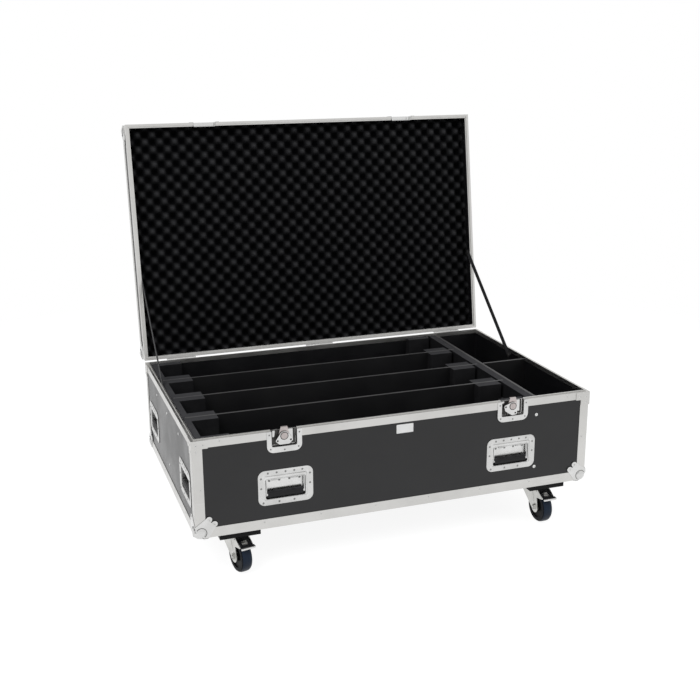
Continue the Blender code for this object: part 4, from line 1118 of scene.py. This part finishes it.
# a lighter charcoal for the pads' tops: painted light from above
lit_top_foam = foam("lit_top_charcoal_foam", (0.050, 0.050, 0.053), (0.068, 0.068, 0.071))
for side in ("left", "right"):
    pads = softened(retraced(f"{side}_end_pads", f"{side}_end_foam"), 0.0022, 3)
    finished(pads, "base", "black_foam", pad_foam, lit_top_foam, replaces=[f"{side}_end_foam"])
    # faces that look up take the lighter foam as painted light, and the sides stay dark
    for face in pads.data.polygons:
        if face.normal.z > 0.6:
            face.material_index = 1

# Egg-crate foam: a convoluted sheet glued inside the lid, with rounded tips and round hollows in a
# checkerboard, cut straight at its sides.

foam_low, foam_high = Vector((-0.6139, 0.0111)), Vector((0.6139, 0.7809))
foam_back, foam_valley, foam_bump, egg_step = 0.5134, 0.4884, 0.020, 0.025
wave_start_x, wave_start_y, tip_sharpness, hollow_shade_falloff = -0.008, 0.0065, 0.85, 3.0
unevenness, unevenness_scale = 0.0004, 60.0
grid_cell = egg_step / 4
size = foam_high - foam_low
egg_foam = opened_primitive("egg_crate_foam", bpy.ops.mesh.primitive_grid_add, size=1.0,
                            x_subdivisions=round(size.x / grid_cell),
                            y_subdivisions=round(size.y / grid_cell))
scaled(size.x, size.y)
shifted((foam_low.x + foam_high.x) / 2, (foam_low.y + foam_high.y) / 2)
closed(egg_foam)
# this attribute is painted shade: highest deep in each hollow, nothing on the tips
hollow_shade = egg_foam.data.attributes.new("hollow_shade", "FLOAT", "POINT")
for vert in egg_foam.data.vertices:
    x, y = vert.co.x, vert.co.y
    wave = (math.cos(math.pi * (x - wave_start_x) / egg_step)
            * math.cos(math.pi * (y - wave_start_y) / egg_step))
    stand = 0.5 + 0.5 * math.copysign(abs(wave) ** tip_sharpness, wave)
    uneven = unevenness * noise.noise(Vector((x, y, 0.0)) * unevenness_scale)
    vert.co.z = foam_valley - foam_bump * stand * 0.98 + uneven
    hollow_shade.data[vert.index].value = 1.0 - stand ** hollow_shade_falloff
opened(egg_foam)
bpy.ops.mesh.flip_normals()
bpy.ops.mesh.region_to_loop()
drawn_out(z=foam_back - foam_valley)
scaled(z=0.0, about=(0.0, 0.0, foam_back))
bpy.ops.mesh.edge_face_add()
bpy.ops.mesh.select_all(action="SELECT")
bpy.ops.mesh.normals_make_consistent(inside=False)
closed(egg_foam)
smoothed(egg_foam, 50.0)
egg_foam.data.transform(lid_open)
# the third colour is the painted shade in the hollows
egg_material = foam("egg_crate_foam", (0.034, 0.034, 0.036), (0.045, 0.045, 0.047),
                    (0.0006, 0.0006, 0.0008))
finished(egg_foam, "lid", "black_foam", egg_material, replaces=["lid_foam"])

# Webbing stays: a strap of woven polypropylene at each end, screwed through washers to the wall of
# the base and of the lid, taut when the lid is open.

stay_face, stay_sheet, stay_width, stay_end, stay_wall = 0.6122, 0.0020, 0.020, 0.008, 0.6139
stay_base_along, stay_base_drop, stay_lid_reach, stay_lid_rise = 0.507, 0.021, 0.290, 0.020
washer_radius, washer_sheet = 0.0070, 0.0010
webbing, tree, shader = new_finish("black_webbing", 0.85, Sheen_Weight=0.1, Specular_IOR_Level=0.2)
uv = tree.nodes.new("ShaderNodeUVMap").outputs["UV"]
spread = tree.nodes.new("ShaderNodeMapping")
spread.inputs["Scale"].default_value = (0.50, stay_width, 1.0)
link(tree, uv, spread.inputs["Vector"])
threads = []
for direction, scale in (("X", 190.0), ("Y", 130.0)):
    wave = tree.nodes.new("ShaderNodeTexWave")
    wave.bands_direction = direction
    wave.inputs["Scale"].default_value = scale
    wave.inputs["Distortion"].default_value = 0.6
    link(tree, spread.outputs[0], wave.inputs["Vector"])
    threads.append(wave.outputs["Fac"])
weave = calculated(tree, "MULTIPLY", *threads)
woven = blended(tree, weave, (0.009, 0.009, 0.010), (0.016, 0.016, 0.017))
link(tree, woven, shader.inputs["Base Color"])
relief(tree, shader, weave, 0.00015)
for side, sign in both_hands:
    low = case @ Vector((sign * stay_face, stay_base_along, base_top - stay_base_drop))
    high = lid_open @ Vector((sign * stay_face, hinge_axis.y - stay_lid_reach,
                              rim_bottom + stay_lid_rise))
    along = (high - low).normalized()
    inward = Vector((-sign, 0.0, 0.0))
    turned = Matrix((along, inward.cross(along), inward)).transposed().to_4x4()
    strap = opened_primitive(f"webbing_stay_{side}", bpy.ops.mesh.primitive_grid_add, size=1.0,
                             x_subdivisions=80, y_subdivisions=6)
    scaled((high - low).length + stay_end * 2, stay_width)
    closed(strap)
    worked(strap, "SOLIDIFY", thickness=stay_sheet, offset=1.0)
    softened(strap, 0.0005, 2, 60.0)
    strap.data.transform(Matrix.Translation((low + high) / 2) @ turned)
    painted(strap, webbing)
    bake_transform(strap)
    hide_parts(f"stay_strap_{side}")
    for body, spot in (("base", low), ("lid", high)):
        spacer = disc("stay_spacer", washer_radius, stay_face - stay_wall, -0.0001)
        washer = disc("stay_washer", washer_radius, stay_sheet, stay_sheet + washer_sheet)
        head = twin_of(screw, "stay_screw",
                       Matrix.Translation((0.0, 0.0, stay_sheet + washer_sheet)))
        fixing = joined_pieces(f"stay_fixing_{side}_{body}", [
            deburred(spacer, 0.0003, zinc), deburred(washer, 0.0003, dark_steel_and_shade),
            painted(head, dark_steel_and_shade)])
        fixing.data.transform(Matrix.Translation(spot) @ turned)
        finished(fixing, body, "zinc_steel")

# Casters: a board of black plywood under each corner carries a pressed swivel caster: top plate,
# ball race, fork, and a wheel with a blue-black tyre. The front two have a brake pedal.

black_board = handled("black_board", (0.0040, 0.0040, 0.0042), (0.007, 0.007, 0.007), 0.62, 0.06,
                      500.0, 0.00008, dust=0.6, Specular_IOR_Level=0.15)
fork_steel = handled("fork_steel", (0.60, 0.60, 0.58), (0.50, 0.50, 0.48), 0.34, 0.07, 500.0,
                     0.00003, metallic=1.0, dust=0.8, scratched=(0.74, 0.74, 0.72), clouds=22.0)
tyre = handled("blue_black_tyre", (0.0022, 0.0030, 0.0050), (0.004, 0.005, 0.008), 0.55, 0.05,
               700.0, 0.00005, dust=0.7, clouds=26.0, Specular_IOR_Level=0.10)
tread = handled("tyre_tread", (0.0045, 0.0110, 0.0240), (0.007, 0.015, 0.030), 0.48, 0.05, 700.0,
                0.00005, dust=0.7, clouds=26.0, Specular_IOR_Level=0.20)
hub_black = handled("hub_black", (0.004, 0.004, 0.0045), (0.008, 0.008, 0.008), 0.50, 0.05, 600.0,
                    0.00004, Specular_IOR_Level=0.10)
board_half_x, board_half_y, board_thickness, board_gap = 0.060, 0.066, 0.015, 0.0003
plate_sheet, plate_low, plate_high, bolt_inset = 0.0022, -0.0175, -0.0149, 0.93
axle_back, axle_z, fork_half_width = 0.030, -0.090, 0.0215
wheel_radius, wheel_half_width = 0.050, 0.016
tyre_rings = ((0.0060, 0.0499), (0.0105, 0.0493), (0.0138, 0.0479), (0.0160, 0.0455))
hub_edge, tread_edge = 0.0357, 0.0480
pedal_back, pedal_z, pedal_slope = 0.038, -0.0333, math.atan2(0.0125, 0.053)
pedal_half_sheet = 0.0015

carrier = block("carrier", (-board_half_x, -board_half_y, -board_thickness - plate_sheet),
                (board_half_x, board_half_y, -board_gap))
corners = [(side * 0.0465, end * 0.0365, 0.006) for side in (-1, 1) for end in (-1, 1)]
top_plate = hull_plate("top_plate", corners, plate_low, plate_high)
race = disc("ball_race", 0.0280, -0.0220, -0.0174, sides=48)
board_parts = [deburred(carrier, 0.0012, black_board), deburred(top_plate, 0.0004, fork_steel),
               deburred(race, 0.0016, fork_steel, 3)]
for x, y, radius in corners:
    x, y = x * bolt_inset, y * bolt_inset
    bolt = disc("board_bolt", 0.0064, -0.0215, plate_low, x, y, sides=6)
    washer = disc("bolt_washer", 0.0080, -0.0186, plate_low, x, y)
    board_parts += [deburred(bolt, 0.0005, fork_steel), deburred(washer, 0.0003, fork_steel)]
board_model = joined_pieces("caster_board_model", board_parts)

# drawn about the swivel axis: the pressed boss, the axle's nut and the rib down each leg
trim = []
for side in (-1, 1):
    face = side * fork_half_width
    for name, radius, half_length, out, sides in (("leg_boss", 0.0124, 0.0011, 0.0, 48),
                                                  ("axle_nut", 0.0088, 0.0024, 0.0026, 6),
                                                  ("axle_end", 0.0042, 0.0030, 0.0032, 24)):
        part = rod_across(name, radius, half_length, face + side * out, -axle_back, axle_z, sides)
        trim.append(deburred(part, 0.0006, fork_steel))
    rib = hull_plate("leg_rib", [(-0.0080, -0.0400, 0.0050), (-0.0210, -0.0700, 0.0040)],
                     -0.0012, 0.0012)
    rib.data.transform(Matrix.Translation((face, 0.0, 0.0)) @ onto_faces[1])
    trim.append(deburred(rib, 0.0010, fork_steel, 3))
fork_trim = joined_pieces("fork_trim_model", trim)

# the wheel: a round bar with its tread crowned ring by ring, and a hub sunk in each side
wheel = opened(rod_across("caster_wheel_model", wheel_radius, wheel_half_width, sides=72))
for place, radius in tyre_rings:
    for ring in (-place, place):
        bpy.ops.mesh.select_all(action="SELECT")
        bpy.ops.mesh.bisect(plane_co=(ring, 0.0, 0.0), plane_no=(1.0, 0.0, 0.0))
        pick("VERT", lambda spot: abs(spot.x - ring) < 0.0001)
        scaled(1.0, radius / wheel_radius, radius / wheel_radius)
pick("FACE", lambda spot, normal: abs(normal.x) > 0.99)
for ring_width, reach in ((0.0100, 0.80), (0.0040, 0.95), (0.0160, 1.36), (0.0050, 0.93)):
    bpy.ops.mesh.inset(thickness=ring_width)
    drawn_out()
    scaled(x=reach)
closed(wheel)
painted(wheel, tyre, tread, hub_black)
for face in wheel.data.polygons:
    radius = math.hypot(face.center.y, face.center.z)
    face.material_index = 2 if radius < hub_edge else 1 if radius > tread_edge else 0
smoothed(softened(wheel, 0.0004, 2, 60.0), 40.0)

# the brake pedal: a pressed frame on a hinge bar, with a steel pad in its window and a toe lip
pedal_black = handled("pedal_black", (0.0040, 0.0045, 0.0055), (0.008, 0.008, 0.009), 0.50, 0.06,
                      600.0, 0.00004, dust=0.5, Specular_IOR_Level=0.25)


def pedal_plate(name, inner, outer, low, high):
    """A plate as wide as both ends say, each given by its half width, y and corner radius."""
    return hull_plate(name, both_sides(*inner) + both_sides(*outer), low, high)


frame_plate = pedal_plate("pedal_frame", (0.0166, -0.0020, 0.0012), (0.0166, -0.0400, 0.0012),
                          -pedal_half_sheet, pedal_half_sheet)
merged(frame_plate, [pedal_plate("pedal_toe", (0.0202, -0.0430, 0.0018), (0.0202, -0.0495, 0.0018),
                                 -pedal_half_sheet, pedal_half_sheet)])
merged(frame_plate, [pedal_plate("pedal_window", (0.0085, -0.0120, 0.0010),
                                 (0.0100, -0.0350, 0.0010), -0.010, 0.010)], "DIFFERENCE")
pad = pedal_plate("pedal_pad", (0.0078, -0.0145, 0.0010), (0.0086, -0.0240, 0.0010),
                  -0.0022, -0.0006)
slide = pedal_plate("pedal_slide", (0.0086, -0.0250, 0.0010), (0.0092, -0.0335, 0.0010),
                    -0.0034, -0.0022)
lip = pedal_plate("pedal_lip", (0.0210, -0.0500, 0.0010), (0.0210, -0.0524, 0.0010),
                  -0.0034, 0.0030)
pedal_model = joined_pieces("brake_pedal_model", [
    deburred(frame_plate, 0.0005, pedal_black),
    deburred(rod_across("pedal_bar", 0.0040, 0.0177), 0.0005, pedal_black),
    deburred(rod_across("pedal_pin", 0.0024, 0.0228), 0.0005, fork_steel),
    deburred(pad, 0.0003, zinc), deburred(slide, 0.0003, aluminium), deburred(lip, 0.0008, zinc)])
pedal_model.data.transform(Matrix.Rotation(pedal_slope, 4, "X"))

across, inset = half_width - 0.130, 0.072
for name, x, y, turn in (("front_left", -across, inset, 11.5), ("front_right", across, inset, 1.0),
                         ("back_left", -across, case_depth - inset, 0.0),
                         ("back_right", across, case_depth - inset, 0.0)):
    seat = case @ Matrix.Translation((x, y, base_bottom))
    swivel = seat @ Matrix.Rotation(math.radians(turn), 4, "Z")
    finished(twin_of(board_model, f"bolted_caster_board_{name}", seat), "base", "black_board",
             replaces=[f"caster_board_{name}"])
    shell = deburred(retraced(f"pressed_fork_{name}", f"caster_fork_{name}"), 0.0008, fork_steel)
    whole = joined_pieces(f"pressed_fork_{name}", [shell, twin_of(fork_trim, "fork_trim", swivel)])
    finished(whole, f"swivel_{name}", "zinc_steel", replaces=[f"caster_fork_{name}"])
    axle = swivel @ Matrix.Translation((0.0, -axle_back, axle_z))
    finished(twin_of(wheel, f"tyred_wheel_{name}", axle), f"wheel_{name}", "blue_tyre",
             replaces=[f"caster_wheel_{name}"])
    if name.startswith("front"):
        pivot = swivel @ Matrix.Translation((0.0, -pedal_back, pedal_z))
        finished(twin_of(pedal_model, f"pressed_pedal_{name}", pivot), f"pedal_{name}",
                 "zinc_steel", replaces=[f"brake_pedal_{name}"])
dropped(board_model, fork_trim, wheel, pedal_model, screw, dull_rivet, rivet)
